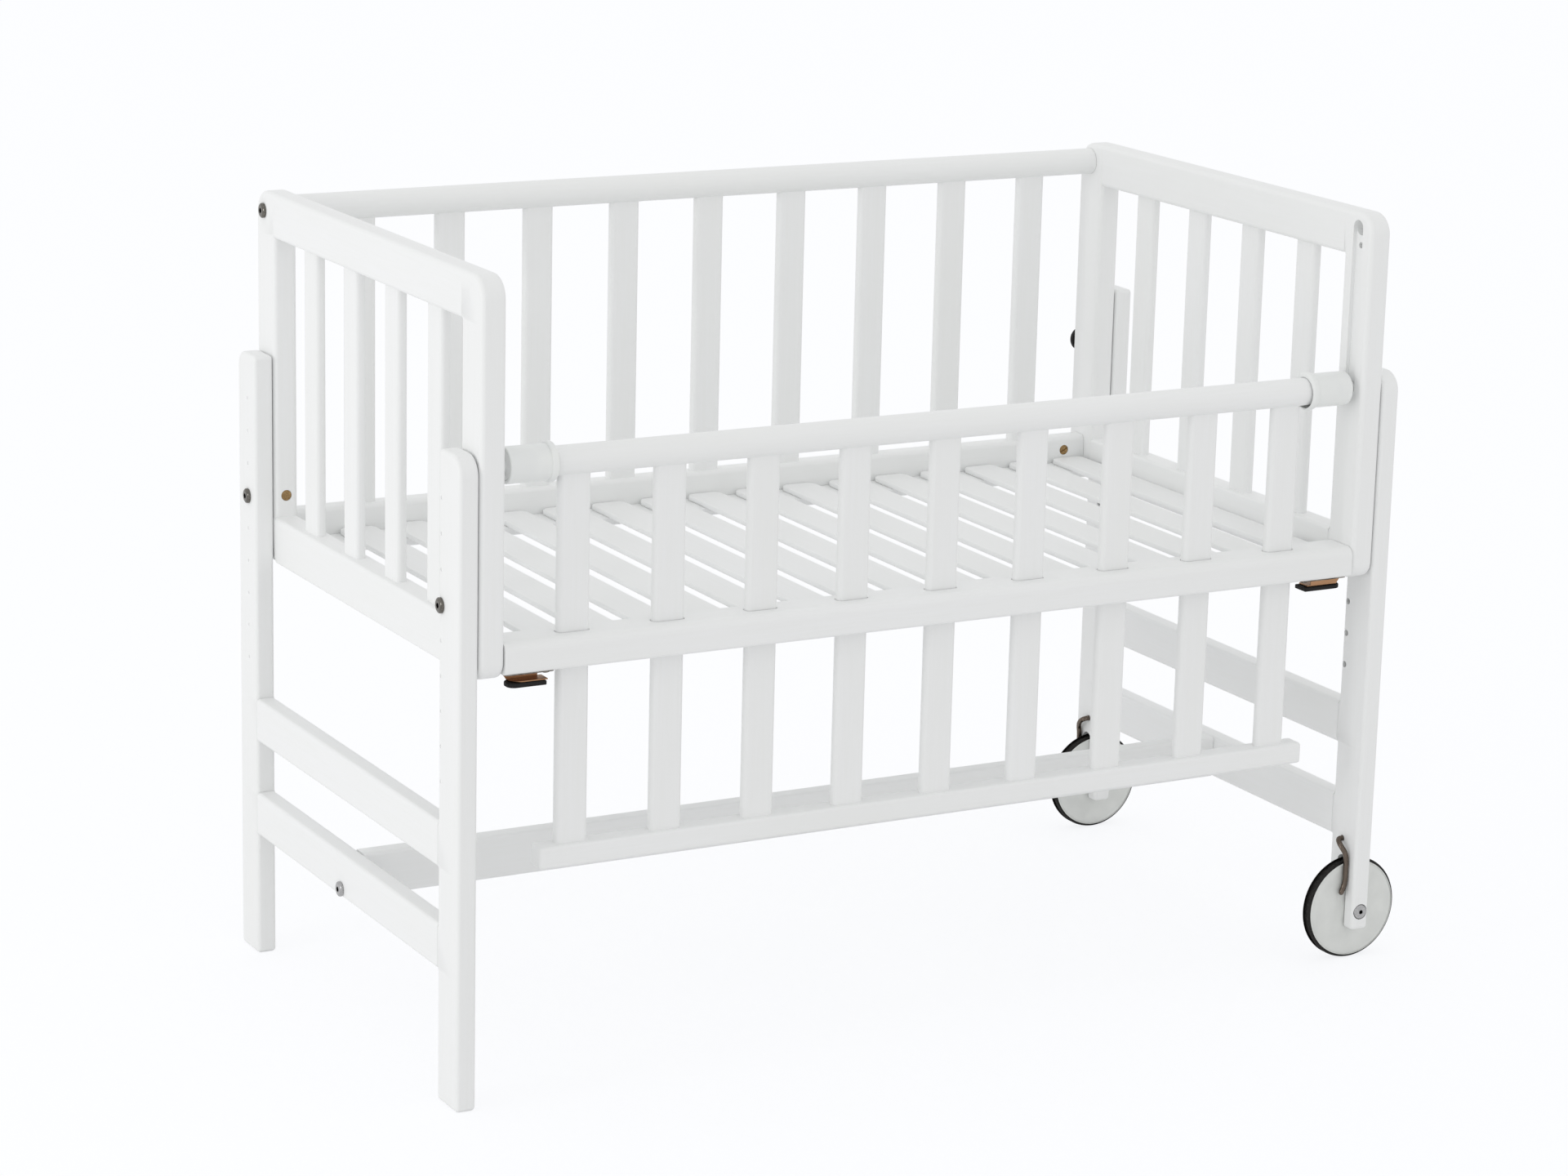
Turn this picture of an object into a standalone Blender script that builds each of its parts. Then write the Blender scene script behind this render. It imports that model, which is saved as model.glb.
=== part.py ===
"""A bedside crib: a white painted wooden cot whose front gate slides down, on two bolted leg frames.

Metres, +Z up. The crib's length runs along X with the two wheels at +X, and the gate is at -Y. The origin
is on the floor, under the middle of the whole crib. Every size below is measured from the middle of the
cot itself, and one empty moves the finished crib so that its own middle is over the origin.
"""

import math

import bmesh
import bpy
from mathutils import Vector

# Clearances and mesh fineness
SEAT_GAP = 0.0003  # air left between two pieces that rest on each other
OVERRUN = 0.002  # how far each cutter runs past the face that it cuts
WELD = 0.000001  # points nearer than this are one point
ARC_STEPS = 3  # straight stretches in the rounded corner of a bar
SLAT_STEPS = 2  # straight stretches in the corner of a slat
CORNER_STEPS = 4  # straight stretches in the large rounded corner of a post or leg
HOLE_STEPS = 8  # sides of a bolt hole
SCREW_STEPS = 12  # sides of a bolt or a pin
ROUND_STEPS = 20  # sides of a round rail
WHEEL_STEPS = 36  # sides of a wheel

# The cot and its end panels
INNER_LENGTH = 0.846  # between the two end panels
OUTER_DEPTH = 0.484  # front faces to rear faces of the posts
POST_HEIGHT = 0.335
POST_WIDTH = 0.040
PANEL_THICKNESS = 0.0225
POST_TOP_RADIUS = 0.020
POST_FOOT_RADIUS = 0.015
COT_BOLT_RISE = 0.060  # from the foot of a post up to the bolt that holds it to its leg
WOOD_EDGE = 0.0025  # soft edge of the thick wooden pieces
END_TOP_RAIL_HEIGHT = 0.040
END_LOW_RAIL_DROP = 0.001  # of the rail's underside below the feet of the posts
END_LOW_RAIL_HEIGHT = 0.0425
END_BAR_COUNT = 4
END_BAR_MARGIN = 0.054  # from the post to the first bar

# One lath serves as every upright bar
BAR_WIDTH = 0.029
BAR_THICKNESS = 0.010
BAR_EDGE = 0.004
BAR_TENON = 0.012  # how deep a bar is let into a rail
MORTISE_CLEARANCE = 0.0003

# Rear side
REAR_RAIL_RADIUS = 0.0125
REAR_PLANE_INSET = 0.0175  # from the rear faces of the posts to the bars' middle plane
REAR_RAIL_DROP = 0.0178  # from the top of the cot to the middle of the round rail
REAR_BAR_COUNT = 9
REAR_BAR_MARGIN = 0.0549
REAR_LOW_RAIL_THICKNESS = 0.020
REAR_LOW_RAIL_DROP = 0.001  # of the rail's underside below the feet of the posts
REAR_LOW_RAIL_HEIGHT = 0.0445
REAR_LOW_RAIL_ROUND = 0.005
MORTISE_SHARE = 0.65  # share of a round rail's radius that the bars are let in

# Fixed front rail
FRONT_RAIL_RISE = 0.004  # of the rail's underside above the feet of the posts
FRONT_RAIL_HEIGHT = 0.027
FRONT_RAIL_DEPTH = 0.037
FRONT_RAIL_ROUND = 0.0055
FRONT_RAIL_END_GAP = 0.0005
SLOT_CLEARANCE = 0.0008  # around a gate bar where it runs through the front rail

# Slatted base
SLAT_COUNT = 16
SLAT_WIDTH = 0.035
SLAT_THICKNESS = 0.005
SLAT_RISE = 0.023  # of the slats' tops above the feet of the posts
SLAT_CORNER = 0.008
SLAT_EDGE = 0.001
BASE_LEFT_GAP = 0.043
BASE_RIGHT_GAP = 0.0045
SLAT_FRONT_GAP = 0.0006
SLAT_REAR_GAP = 0.0010
BATTEN_WIDTH = 0.041
BATTEN_THICKNESS = 0.007
BATTEN_OVERLAP = 0.0005  # how far the battens are glued into the slats
BATTEN_END_GAP = 0.002

# Sliding gate
GATE_PLANE_INSET = 0.020  # from the front faces of the posts to the bars' middle plane
GATE_RAIL_RADIUS = 0.0125
GATE_HEIGHT = 0.3466  # from the underside of the lath to the middle of the top rail
GATE_BAR_COUNT = 9
GATE_BAR_MARGIN = 0.0553
GATE_LATH_DEPTH = 0.020
GATE_LATH_HEIGHT = 0.0195
GATE_LATH_END_GAP = 0.038  # from the end of the lath to the post
GATE_RAIL_END_GAP = 0.0025
GATE_TRAVEL = 0.1294  # from the lowered gate up to its catch

# Groove and catch in the front posts
GROOVE_WIDTH = 0.0125
GROOVE_DEPTH = 0.0027
GROOVE_TOP_MARGIN = 0.007  # from the end of the groove to the top of the post
CATCH_DROP = 0.030  # from the top of the post to the middle of the catch
CATCH_CLEARANCE = 0.0005
CATCH_DEPTH = 0.006

# Release sleeves on the gate's top rail
SLEEVE_WALL = 0.0027
SLEEVE_BORE_CLEARANCE = 0.0003
SLEEVE_LENGTH = 0.0405
SLEEVE_RING_PROUD = 0.00175  # how far the ring stands out from the sleeve
SLEEVE_RING_LENGTH = 0.006
SLEEVE_ROUND = 0.0012
SLEEVE_TRAVEL = 0.005
GUIDE_CLEARANCE = 0.00035  # between a guide and each side of its groove
GUIDE_ENGAGEMENT = 0.0017  # how deep a guide reaches into its groove
LATCH_RADIUS = 0.0025
LATCH_LENGTH = 0.0284
LATCH_CLEARANCE = 0.0003
LATCH_TIP_GAP = 0.0005  # from the latch pin's tip to the floor of the groove
CROSS_PIN_RADIUS = 0.0015
SPRING_CLEARANCE = 0.0004  # between a spring and its bore
SPRING_RADIUS = 0.0036
SPRING_WIRE_RADIUS = 0.0005
SPRING_LENGTH = 0.016
SPRING_TURNS = 6
SPRING_POINTS = 8

# Leg frames
LEG_GAP = 0.001
LEG_THICKNESS = 0.018
LEG_TOP = 0.560
LEG_FRONT_RADIUS = 0.018
LEG_REAR_RADIUS = 0.012
LEG_EDGE = 0.002
LEG_HOLE_CLEARANCE = 0.00025
LEG_HOLE_COUNT = 9
LEG_HOLE_DROP = 0.040  # from the top of the leg to its first hole
LEG_HOLE_PITCH = 0.030
FRONT_HOLE_MARGIN = 0.0052  # from the inner edge of a leg to its column of holes
REAR_HOLE_MARGIN = 0.0166
BOLTED_HOLE = 3  # number of the hole, from the top, that carries the cot
LEG_RAIL_HEIGHT = 0.040
UPPER_LEG_RAIL_BOTTOM = 0.204
LOWER_LEG_RAIL_BOTTOM = 0.115
STRETCHER_THICKNESS = 0.018
STRETCHER_OFFSET = 0.005  # of its middle plane behind the middle of the cot
STRETCHER_BOLT_RISE = 0.0077  # of the bolt above the bottom edge

# Bolts
BOLT_RADIUS = 0.003
BOLT_CLEARANCE = 0.0004
BOLT_HEAD_RADIUS = 0.00675
BOLT_HEAD_HEIGHT = 0.003
BOLT_HEAD_ROUND = 0.001
BOLT_DEPTH = 0.018  # of the shank in the piece that it draws up
LONG_BOLT_DEPTH = 0.028
BOLT_END_GAP = 0.002
SOCKET_RADIUS = 0.0023
SOCKET_DEPTH = 0.002
SOCKET_SIDES = 6

# Wheels, forks and brakes
WHEEL_RADIUS = 0.0485
WHEEL_WIDTH = 0.013
TREAD_PROUD = 0.0005  # how far the tread stands out from the flanges
FLANGE_THICKNESS = 0.0008
FLANGE_DEPTH = 0.004  # of the tyre's groove below the flanges' edges
FORK_CLEARANCE = 0.0015  # between the wheel and each side of its slot
FORK_TOP_CLEARANCE = 0.003
FORK_REACH = 0.0175  # of the fork below the middle of the axle
AXLE_RADIUS = 0.004
AXLE_CLEARANCE = 0.0004
AXLE_HEAD_RADIUS = 0.0063
AXLE_HEAD_HEIGHT = 0.003
AXLE_HEAD_PROUD = 0.001
AXLE_SEAT_CLEARANCE = 0.0004
BRAKE_WIRE_RADIUS = 0.0025
BRAKE_HOLE_CLEARANCE = 0.0004
BRAKE_HOLE_OFFSET = 0.0023  # from the middle of the leg towards the inside
BRAKE_PIVOT_RISE = 0.0184  # above the top of the wheel
BRAKE_STEM = 0.012  # how deep the wire turns in the leg
BRAKE_DISC_GAP = 0.0005
BRAKE_REACH = 0.006  # how far the wire's bend stands in from the leg
BRAKE_LEG_GAP = 0.0004
BRAKE_DROP = 0.042  # from the pivot to the straight end of the wire
BRAKE_TIP_LENGTH = 0.008
BRAKE_TIP_TURN = math.radians(28)
BRAKE_ROUTE_SHARES = (
    (0.10, 0.0, 0.0),
    (0.70, 0.05, 0.01),
    (1.0, 0.32, 0.06),
    (0.95, 0.68, 0.15),
    (0.70, 0.94, 0.26),
)

# Swing-out brackets for the adult bed
BRACKET_PLATE_LENGTH = 0.045
BRACKET_PLATE_WIDTH = 0.024
BRACKET_PLATE_THICKNESS = 0.0012
BRACKET_POST_GAP = 0.004
BRACKET_INSET = 0.002  # behind the front face of the front rail
BRACKET_PIVOT_RADIUS = 0.003
BRACKET_PIVOT_CLEARANCE = 0.0003
BRACKET_PIVOT_MARGIN = 0.006  # from the plate's inner end to the pivot
BRACKET_CORNER = 0.003
ARM_THICKNESS = 0.0022
ARM_WIDTH = 0.020
ARM_REACH = 0.0305  # from the pivot to the round free end
ARM_TAIL = 0.006  # from the pivot to the other end
PAD_WIDTH = 0.0225
PAD_LENGTH = 0.026
PAD_THICKNESS = 0.008
PAD_EDGE = 0.0008

# Rear bumpers
BUMPER_RADIUS = 0.012
BUMPER_HEIGHT = 0.0055
BUMPER_RISE = 0.135  # above the feet of the posts
BUMPER_ROUND = 0.002

# Places that follow from the sizes above
INNER_X = INNER_LENGTH / 2
PANEL_OUTER_X = INNER_X + PANEL_THICKNESS
LEG_INNER_X = PANEL_OUTER_X + LEG_GAP
LEG_OUTER_X = LEG_INNER_X + LEG_THICKNESS
LEG_MIDDLE_X = LEG_INNER_X + LEG_THICKNESS / 2
FACE_Y = OUTER_DEPTH / 2
INNER_Y = FACE_Y - POST_WIDTH
GATE_Y = -FACE_Y + GATE_PLANE_INSET
REAR_Y = FACE_Y - REAR_PLANE_INSET
FRONT_RAIL_REAR_Y = -FACE_Y + FRONT_RAIL_DEPTH
REAR_LOW_RAIL_FRONT_Y = REAR_Y - REAR_LOW_RAIL_THICKNESS / 2
LEG_HOLE_TOP = LEG_TOP - LEG_HOLE_DROP
BOLTED_Z = LEG_HOLE_TOP - BOLTED_HOLE * LEG_HOLE_PITCH
FRONT_HOLE_Y = -INNER_Y - FRONT_HOLE_MARGIN
REAR_HOLE_Y = INNER_Y + REAR_HOLE_MARGIN
POST_BOTTOM = BOLTED_Z - COT_BOLT_RISE
COT_TOP = POST_BOTTOM + POST_HEIGHT
END_LOW_RAIL_BOTTOM = POST_BOTTOM - END_LOW_RAIL_DROP
REAR_RAIL_Z = COT_TOP - REAR_RAIL_DROP
REAR_LOW_RAIL_BOTTOM = POST_BOTTOM - REAR_LOW_RAIL_DROP
FRONT_RAIL_BOTTOM = POST_BOTTOM + FRONT_RAIL_RISE
SLAT_TOP = POST_BOTTOM + SLAT_RISE
BUMPER_Z = POST_BOTTOM + BUMPER_RISE
GROOVE_TOP = COT_TOP - GROOVE_TOP_MARGIN
CATCH_Z = COT_TOP - CATCH_DROP
GATE_RAIL_Z = CATCH_Z - GATE_TRAVEL
GATE_LATH_BOTTOM = GATE_RAIL_Z - GATE_HEIGHT
SLEEVE_BORE_RADIUS = GATE_RAIL_RADIUS + SLEEVE_BORE_CLEARANCE
SLEEVE_RADIUS = SLEEVE_BORE_RADIUS + SLEEVE_WALL
SLEEVE_RING_RADIUS = SLEEVE_RADIUS + SLEEVE_RING_PROUD
GUIDE_RADIUS = GROOVE_WIDTH / 2 - GUIDE_CLEARANCE
GUIDE_LENGTH = GATE_RAIL_END_GAP + GUIDE_ENGAGEMENT
CATCH_RADIUS = LATCH_RADIUS + CATCH_CLEARANCE
SPRING_BORE_RADIUS = SPRING_RADIUS + SPRING_WIRE_RADIUS + SPRING_CLEARANCE
LEG_HOLE_RADIUS = BOLT_RADIUS + LEG_HOLE_CLEARANCE
BOLT_HOLE_RADIUS = BOLT_RADIUS + BOLT_CLEARANCE
AXLE_Z = WHEEL_RADIUS
FLANGE_RADIUS = WHEEL_RADIUS - TREAD_PROUD
RIM_RADIUS = FLANGE_RADIUS - FLANGE_DEPTH
FORK_SLOT = WHEEL_WIDTH + 2 * FORK_CLEARANCE
FORK_BOTTOM = AXLE_Z - FORK_REACH
BRAKE_PIVOT_Z = AXLE_Z + WHEEL_RADIUS + BRAKE_PIVOT_RISE
STRETCHER_BOLT_Z = LOWER_LEG_RAIL_BOTTOM + STRETCHER_BOLT_RISE
LEFT, RIGHT = -1, 1
FRONT, REAR = -1, 1
SIDE_NAMES = {LEFT: "left", RIGHT: "right"}
DEPTH_NAMES = {FRONT: "front", REAR: "rear"}
CORNERS = [(side, depth) for side in (LEFT, RIGHT) for depth in (FRONT, REAR)]
QUARTER = math.pi / 2
MESH_AXES = {"X": (1, 2, 0), "Y": (0, 2, 1), "Z": (0, 1, 2)}


def evenly(count, low, high, width):
    """Middles of equal pieces laid side by side with equal gaps, the outer two reaching low and high."""
    pitch = (high - low - width) / (count - 1)
    return [low + width / 2 + index * pitch for index in range(count)]


def span(side, inner, outer):
    """Lowest and highest X of a piece between two distances from the middle, on one side."""
    return sorted((side * inner, side * outer))


def rounded(low, high, radii, steps=ARC_STEPS):
    """Outline of a rectangle whose corners, from the lower left round, have their own radii."""
    corners = ((low[0], low[1]), (high[0], low[1]), (high[0], high[1]), (low[0], high[1]))
    outline = []
    for number, (corner, radius) in enumerate(zip(corners, radii)):
        if not radius:
            outline.append(corner)
            continue
        middle_u = corner[0] + radius * (1 if number in (0, 3) else -1)
        middle_v = corner[1] + radius * (1 if number in (0, 1) else -1)
        for step in range(steps + 1):
            angle = math.pi + QUARTER * (number + step / steps)
            outline.append((middle_u + radius * math.cos(angle), middle_v + radius * math.sin(angle)))
    return outline


def centred(middle, width, height, radius, steps=ARC_STEPS):
    """Outline of a rectangle about its middle, with one radius at all corners."""
    low = (middle[0] - width / 2, middle[1] - height / 2)
    high = (middle[0] + width / 2, middle[1] + height / 2)
    return rounded(low, high, [radius] * 4, steps)


def circle(middle, radius, steps):
    """Outline of a round hole or pin."""
    angles = [2 * math.pi * (step + 0.5) / steps for step in range(steps)]
    return [(middle[0] + radius * math.cos(a), middle[1] + radius * math.sin(a)) for a in angles]


def add_prism(mesh, outline, along, low, high):
    """Adds a solid of one outline that runs from low to high along an axis."""
    first, second, third = MESH_AXES[along]
    corners = []
    for across, up in outline:
        point = [0, 0, 0]
        point[first], point[second], point[third] = across, up, low
        corners.append(mesh.verts.new(point))
    grown = bmesh.ops.extrude_face_region(mesh, geom=[mesh.faces.new(corners)])
    travel = [0, 0, 0]
    travel[third] = high - low
    moved = [item for item in grown["geom"] if isinstance(item, bmesh.types.BMVert)]
    bmesh.ops.translate(mesh, verts=moved, vec=travel)


def prism(outline, along, low, high):
    """A mesh that holds one such solid."""
    mesh = bmesh.new()
    add_prism(mesh, outline, along, low, high)
    return mesh


def turned(profile, steps, ring=False):
    """A solid turned about Z from points of radius and height; a ring's profile closes on itself."""
    mesh = bmesh.new()
    points = [mesh.verts.new((radius, 0, height)) for radius, height in profile]
    edges = [mesh.edges.new(pair) for pair in zip(points, points[1:])]
    if ring:
        edges.append(mesh.edges.new((points[-1], points[0])))
    bmesh.ops.spin(
        mesh, geom=points + edges, axis=(0, 0, 1), cent=(0, 0, 0), angle=2 * math.pi, steps=steps
    )
    bmesh.ops.remove_doubles(mesh, verts=mesh.verts, dist=WELD)
    return mesh


def clear_scene():
    for old in list(bpy.data.objects):
        bpy.data.objects.remove(old, do_unlink=True)


def finish_material(name, colour, roughness, metallic):
    material = bpy.data.materials.new(name)
    material.use_nodes = True
    shader = material.node_tree.nodes["Principled BSDF"]
    shader.inputs["Base Color"].default_value = (*colour, 1)
    shader.inputs["Roughness"].default_value = roughness
    shader.inputs["Metallic"].default_value = metallic
    return material


def link(thing, parent, location, turn):
    bpy.context.scene.collection.objects.link(thing)
    thing.parent = parent
    thing.location = location
    thing.rotation_euler = turn
    return thing


def empty(name, parent, location):
    return link(bpy.data.objects.new(name, None), parent, location, (0, 0, 0))


def piece(name, mesh, material, parent, origin=(0, 0, 0)):
    """Makes a named piece whose mesh is drawn in its parent's frame, with the object's origin at origin."""
    bmesh.ops.translate(mesh, verts=mesh.verts, vec=-Vector(origin))
    return placed(name, mesh, material, parent, origin, (0, 0, 0))


def placed(name, mesh, material, parent, location, turn):
    """Makes a named piece whose mesh is drawn about its own origin, then places and turns it."""
    bmesh.ops.recalc_face_normals(mesh, faces=mesh.faces)
    data = bpy.data.meshes.new(name)
    mesh.to_mesh(data)
    mesh.free()
    data.materials.append(material)
    data.shade_smooth()
    data.set_sharp_from_angle(angle=math.radians(35))
    return link(bpy.data.objects.new(name, data), parent, location, turn)


def helper(name, mesh, parent, location=(0, 0, 0), turn=(0, 0, 0)):
    """Makes a solid that only cuts or joins another one."""
    bmesh.ops.recalc_face_normals(mesh, faces=mesh.faces)
    data = bpy.data.meshes.new(name)
    mesh.to_mesh(data)
    mesh.free()
    thing = link(bpy.data.objects.new(name, data), parent, location, turn)
    thing.hide_render = True
    thing.display_type = "WIRE"
    return thing


def soften(thing, width, segments=2):
    """Rounds every square edge of a piece."""
    bevel = thing.modifiers.new("soft_edges", "BEVEL")
    bevel.width = width
    bevel.segments = segments
    bevel.limit_method = "ANGLE"
    bevel.angle_limit = math.radians(50)


def combine(thing, other, operation):
    boolean = thing.modifiers.new(other.name, "BOOLEAN")
    boolean.operation = operation
    boolean.solver = "EXACT"
    boolean.object = other


def cut(thing, mesh, parent, location=(0, 0, 0), turn=(0, 0, 0)):
    number = len(thing.modifiers)
    combine(thing, helper(f"{thing.name}_cut_{number}", mesh, parent, location, turn), "DIFFERENCE")


def join(thing, mesh, parent, location=(0, 0, 0), turn=(0, 0, 0)):
    number = len(thing.modifiers)
    combine(thing, helper(f"{thing.name}_join_{number}", mesh, parent, location, turn), "UNION")


def bar_outline(middle, across_first):
    """Section of one lath, its width along the first or the second direction of the outline."""
    width, height = (BAR_WIDTH, BAR_THICKNESS) if across_first else (BAR_THICKNESS, BAR_WIDTH)
    return centred(middle, width, height, BAR_EDGE)


def mortise_outline(middle, clearance):
    """Section of the hole that a front or rear bar goes into or through."""
    width = BAR_WIDTH + 2 * clearance
    height = BAR_THICKNESS + 2 * clearance
    return centred(middle, width, height, BAR_EDGE + clearance)


def gate_bar_places():
    return evenly(GATE_BAR_COUNT, -INNER_X + GATE_BAR_MARGIN, INNER_X - GATE_BAR_MARGIN, BAR_WIDTH)


def rear_bar_places():
    return evenly(REAR_BAR_COUNT, -INNER_X + REAR_BAR_MARGIN, INNER_X - REAR_BAR_MARGIN, BAR_WIDTH)


def make_posts(crib, paint):
    for side, depth in CORNERS:
        low_y, high_y = sorted((depth * INNER_Y, depth * FACE_Y))
        corner_radii = (POST_FOOT_RADIUS, 0, 0, POST_TOP_RADIUS)
        if depth == REAR:
            corner_radii = (0, POST_FOOT_RADIUS, POST_TOP_RADIUS, 0)
        outline = rounded((low_y, POST_BOTTOM), (high_y, COT_TOP), corner_radii, CORNER_STEPS)
        origin = (side * (INNER_X + PANEL_THICKNESS / 2), depth * (FACE_Y - POST_WIDTH / 2), POST_BOTTOM)
        mesh = prism(outline, "X", *span(side, INNER_X, PANEL_OUTER_X))
        name = f"post_{DEPTH_NAMES[depth]}_{SIDE_NAMES[side]}"
        post = piece(name, mesh, paint, crib, origin)
        soften(post, WOOD_EDGE)
        hole_y = FRONT_HOLE_Y if depth == FRONT else REAR_HOLE_Y
        holes = bmesh.new()
        bolt_end = PANEL_OUTER_X - BOLT_DEPTH - BOLT_END_GAP
        hole = circle((hole_y, BOLTED_Z), BOLT_HOLE_RADIUS, HOLE_STEPS)
        add_prism(holes, hole, "X", *span(side, bolt_end, PANEL_OUTER_X + OVERRUN))
        if depth == REAR:
            hole = circle((REAR_Y, REAR_RAIL_Z), BOLT_HOLE_RADIUS, HOLE_STEPS)
            add_prism(holes, hole, "X", *span(side, INNER_X - OVERRUN, PANEL_OUTER_X + OVERRUN))
        cut(post, holes, crib)
        if depth == FRONT:
            cut_groove(post, crib, side)


def cut_groove(post, crib, side):
    """The gate's guides run in this groove, and the latch pins drop into the catch near its top."""
    bottom = GATE_RAIL_Z - GROOVE_WIDTH / 2
    low, high = (GATE_Y - GROOVE_WIDTH / 2, bottom), (GATE_Y + GROOVE_WIDTH / 2, GROOVE_TOP)
    outline = rounded(low, high, [GROOVE_WIDTH / 2] * 4, CORNER_STEPS)
    groove = prism(outline, "X", *span(side, INNER_X - OVERRUN, INNER_X + GROOVE_DEPTH))
    bmesh.ops.remove_doubles(groove, verts=groove.verts, dist=WELD)
    cut(post, groove, crib)
    catch = circle((GATE_Y, CATCH_Z), CATCH_RADIUS, HOLE_STEPS)
    catch_end = INNER_X + GROOVE_DEPTH + CATCH_DEPTH
    cut(post, prism(catch, "X", *span(side, INNER_X - OVERRUN, catch_end)), crib)


def make_end_panels(crib, paint):
    end_y = INNER_Y - SEAT_GAP
    bar_places = evenly(END_BAR_COUNT, -INNER_Y + END_BAR_MARGIN, INNER_Y - END_BAR_MARGIN, BAR_WIDTH)
    middle_x = INNER_X + PANEL_THICKNESS / 2
    top_rail_bottom = COT_TOP - END_TOP_RAIL_HEIGHT
    low_rail_top = END_LOW_RAIL_BOTTOM + END_LOW_RAIL_HEIGHT
    for side in (LEFT, RIGHT):
        low_x, high_x = span(side, INNER_X, PANEL_OUTER_X)
        edges = [WOOD_EDGE] * 4
        outline = rounded((low_x, top_rail_bottom), (high_x, COT_TOP), edges)
        origin = (side * middle_x, 0, top_rail_bottom)
        piece(f"end_top_rail_{SIDE_NAMES[side]}", prism(outline, "Y", -end_y, end_y), paint, crib, origin)
        outline = rounded((low_x, END_LOW_RAIL_BOTTOM), (high_x, low_rail_top), edges)
        origin = (side * middle_x, 0, END_LOW_RAIL_BOTTOM)
        rail = prism(outline, "Y", -end_y, end_y)
        grille = piece(f"end_grille_{SIDE_NAMES[side]}", rail, paint, crib, origin)
        bars = bmesh.new()
        for place in bar_places:
            section = bar_outline((side * middle_x, place), False)
            add_prism(bars, section, "Z", low_rail_top - BAR_TENON, top_rail_bottom - SEAT_GAP)
        join(grille, bars, crib)


def make_rear_side(crib, paint):
    end_x = INNER_X - SEAT_GAP
    outline = circle((REAR_Y, REAR_RAIL_Z), REAR_RAIL_RADIUS, ROUND_STEPS)
    origin = (0, REAR_Y, REAR_RAIL_Z)
    rail = piece("rear_top_rail", prism(outline, "X", -end_x, end_x), paint, crib, origin)
    bar_top = REAR_RAIL_Z - REAR_RAIL_RADIUS * (1 - MORTISE_SHARE)
    rail_bottom = REAR_RAIL_Z - REAR_RAIL_RADIUS
    holes = bmesh.new()
    for place in rear_bar_places():
        section = mortise_outline((place, REAR_Y), MORTISE_CLEARANCE)
        add_prism(holes, section, "Z", rail_bottom - OVERRUN, bar_top + SEAT_GAP)
    for side in (LEFT, RIGHT):
        bolt_end = INNER_X - LONG_BOLT_DEPTH - BOLT_END_GAP
        hole = circle((REAR_Y, REAR_RAIL_Z), BOLT_HOLE_RADIUS, HOLE_STEPS)
        add_prism(holes, hole, "X", *span(side, bolt_end, INNER_X + OVERRUN))
    cut(rail, holes, crib)

    low_y, high_y = REAR_LOW_RAIL_FRONT_Y, REAR_LOW_RAIL_FRONT_Y + REAR_LOW_RAIL_THICKNESS
    low_rail_top = REAR_LOW_RAIL_BOTTOM + REAR_LOW_RAIL_HEIGHT
    radii = (WOOD_EDGE, WOOD_EDGE, REAR_LOW_RAIL_ROUND, REAR_LOW_RAIL_ROUND)
    outline = rounded((low_y, REAR_LOW_RAIL_BOTTOM), (high_y, low_rail_top), radii)
    origin = (0, REAR_Y, REAR_LOW_RAIL_BOTTOM)
    grille = piece("rear_grille", prism(outline, "X", -end_x, end_x), paint, crib, origin)
    bars = bmesh.new()
    for place in rear_bar_places():
        add_prism(bars, bar_outline((place, REAR_Y), True), "Z", low_rail_top - BAR_TENON, bar_top)
    join(grille, bars, crib)


def make_front_rail(crib, paint):
    """The gate bars run through slots in this rail, which holds them in line."""
    top = FRONT_RAIL_BOTTOM + FRONT_RAIL_HEIGHT
    radii = (WOOD_EDGE, WOOD_EDGE, WOOD_EDGE, FRONT_RAIL_ROUND)
    outline = rounded((-FACE_Y, FRONT_RAIL_BOTTOM), (FRONT_RAIL_REAR_Y, top), radii)
    end_x = INNER_X - FRONT_RAIL_END_GAP
    origin = (0, -FACE_Y + FRONT_RAIL_DEPTH / 2, FRONT_RAIL_BOTTOM)
    rail = piece("front_rail", prism(outline, "X", -end_x, end_x), paint, crib, origin)
    slots = bmesh.new()
    for place in gate_bar_places():
        section = mortise_outline((place, GATE_Y), SLOT_CLEARANCE)
        add_prism(slots, section, "Z", FRONT_RAIL_BOTTOM - OVERRUN, top + OVERRUN)
    cut(rail, slots, crib)


def make_base(crib, paint):
    """Slats glued on two battens, which the front and rear rails carry."""
    slat_bottom = SLAT_TOP - SLAT_THICKNESS
    end_x = INNER_X - BATTEN_END_GAP
    front = FRONT_RAIL_REAR_Y + SEAT_GAP
    rear = REAR_LOW_RAIL_FRONT_Y - SEAT_GAP
    slats = bmesh.new()
    places = evenly(SLAT_COUNT, -INNER_X + BASE_LEFT_GAP, INNER_X - BASE_RIGHT_GAP, SLAT_WIDTH)
    for place in places:
        low = (place - SLAT_WIDTH / 2, FRONT_RAIL_REAR_Y + SLAT_FRONT_GAP)
        high = (place + SLAT_WIDTH / 2, REAR_LOW_RAIL_FRONT_Y - SLAT_REAR_GAP)
        add_prism(slats, rounded(low, high, [SLAT_CORNER] * 4, SLAT_STEPS), "Z", slat_bottom, SLAT_TOP)
    base = piece("slatted_base", slats, paint, crib, (0, 0, slat_bottom))
    soften(base, SLAT_EDGE, 1)
    battens = bmesh.new()
    for low_y, high_y in ((front, front + BATTEN_WIDTH), (rear - BATTEN_WIDTH, rear)):
        low = (low_y, slat_bottom - BATTEN_THICKNESS)
        high = (high_y, slat_bottom + BATTEN_OVERLAP)
        add_prism(battens, rounded(low, high, [0] * 4), "X", -end_x, end_x)
    join(base, battens, crib)


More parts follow.
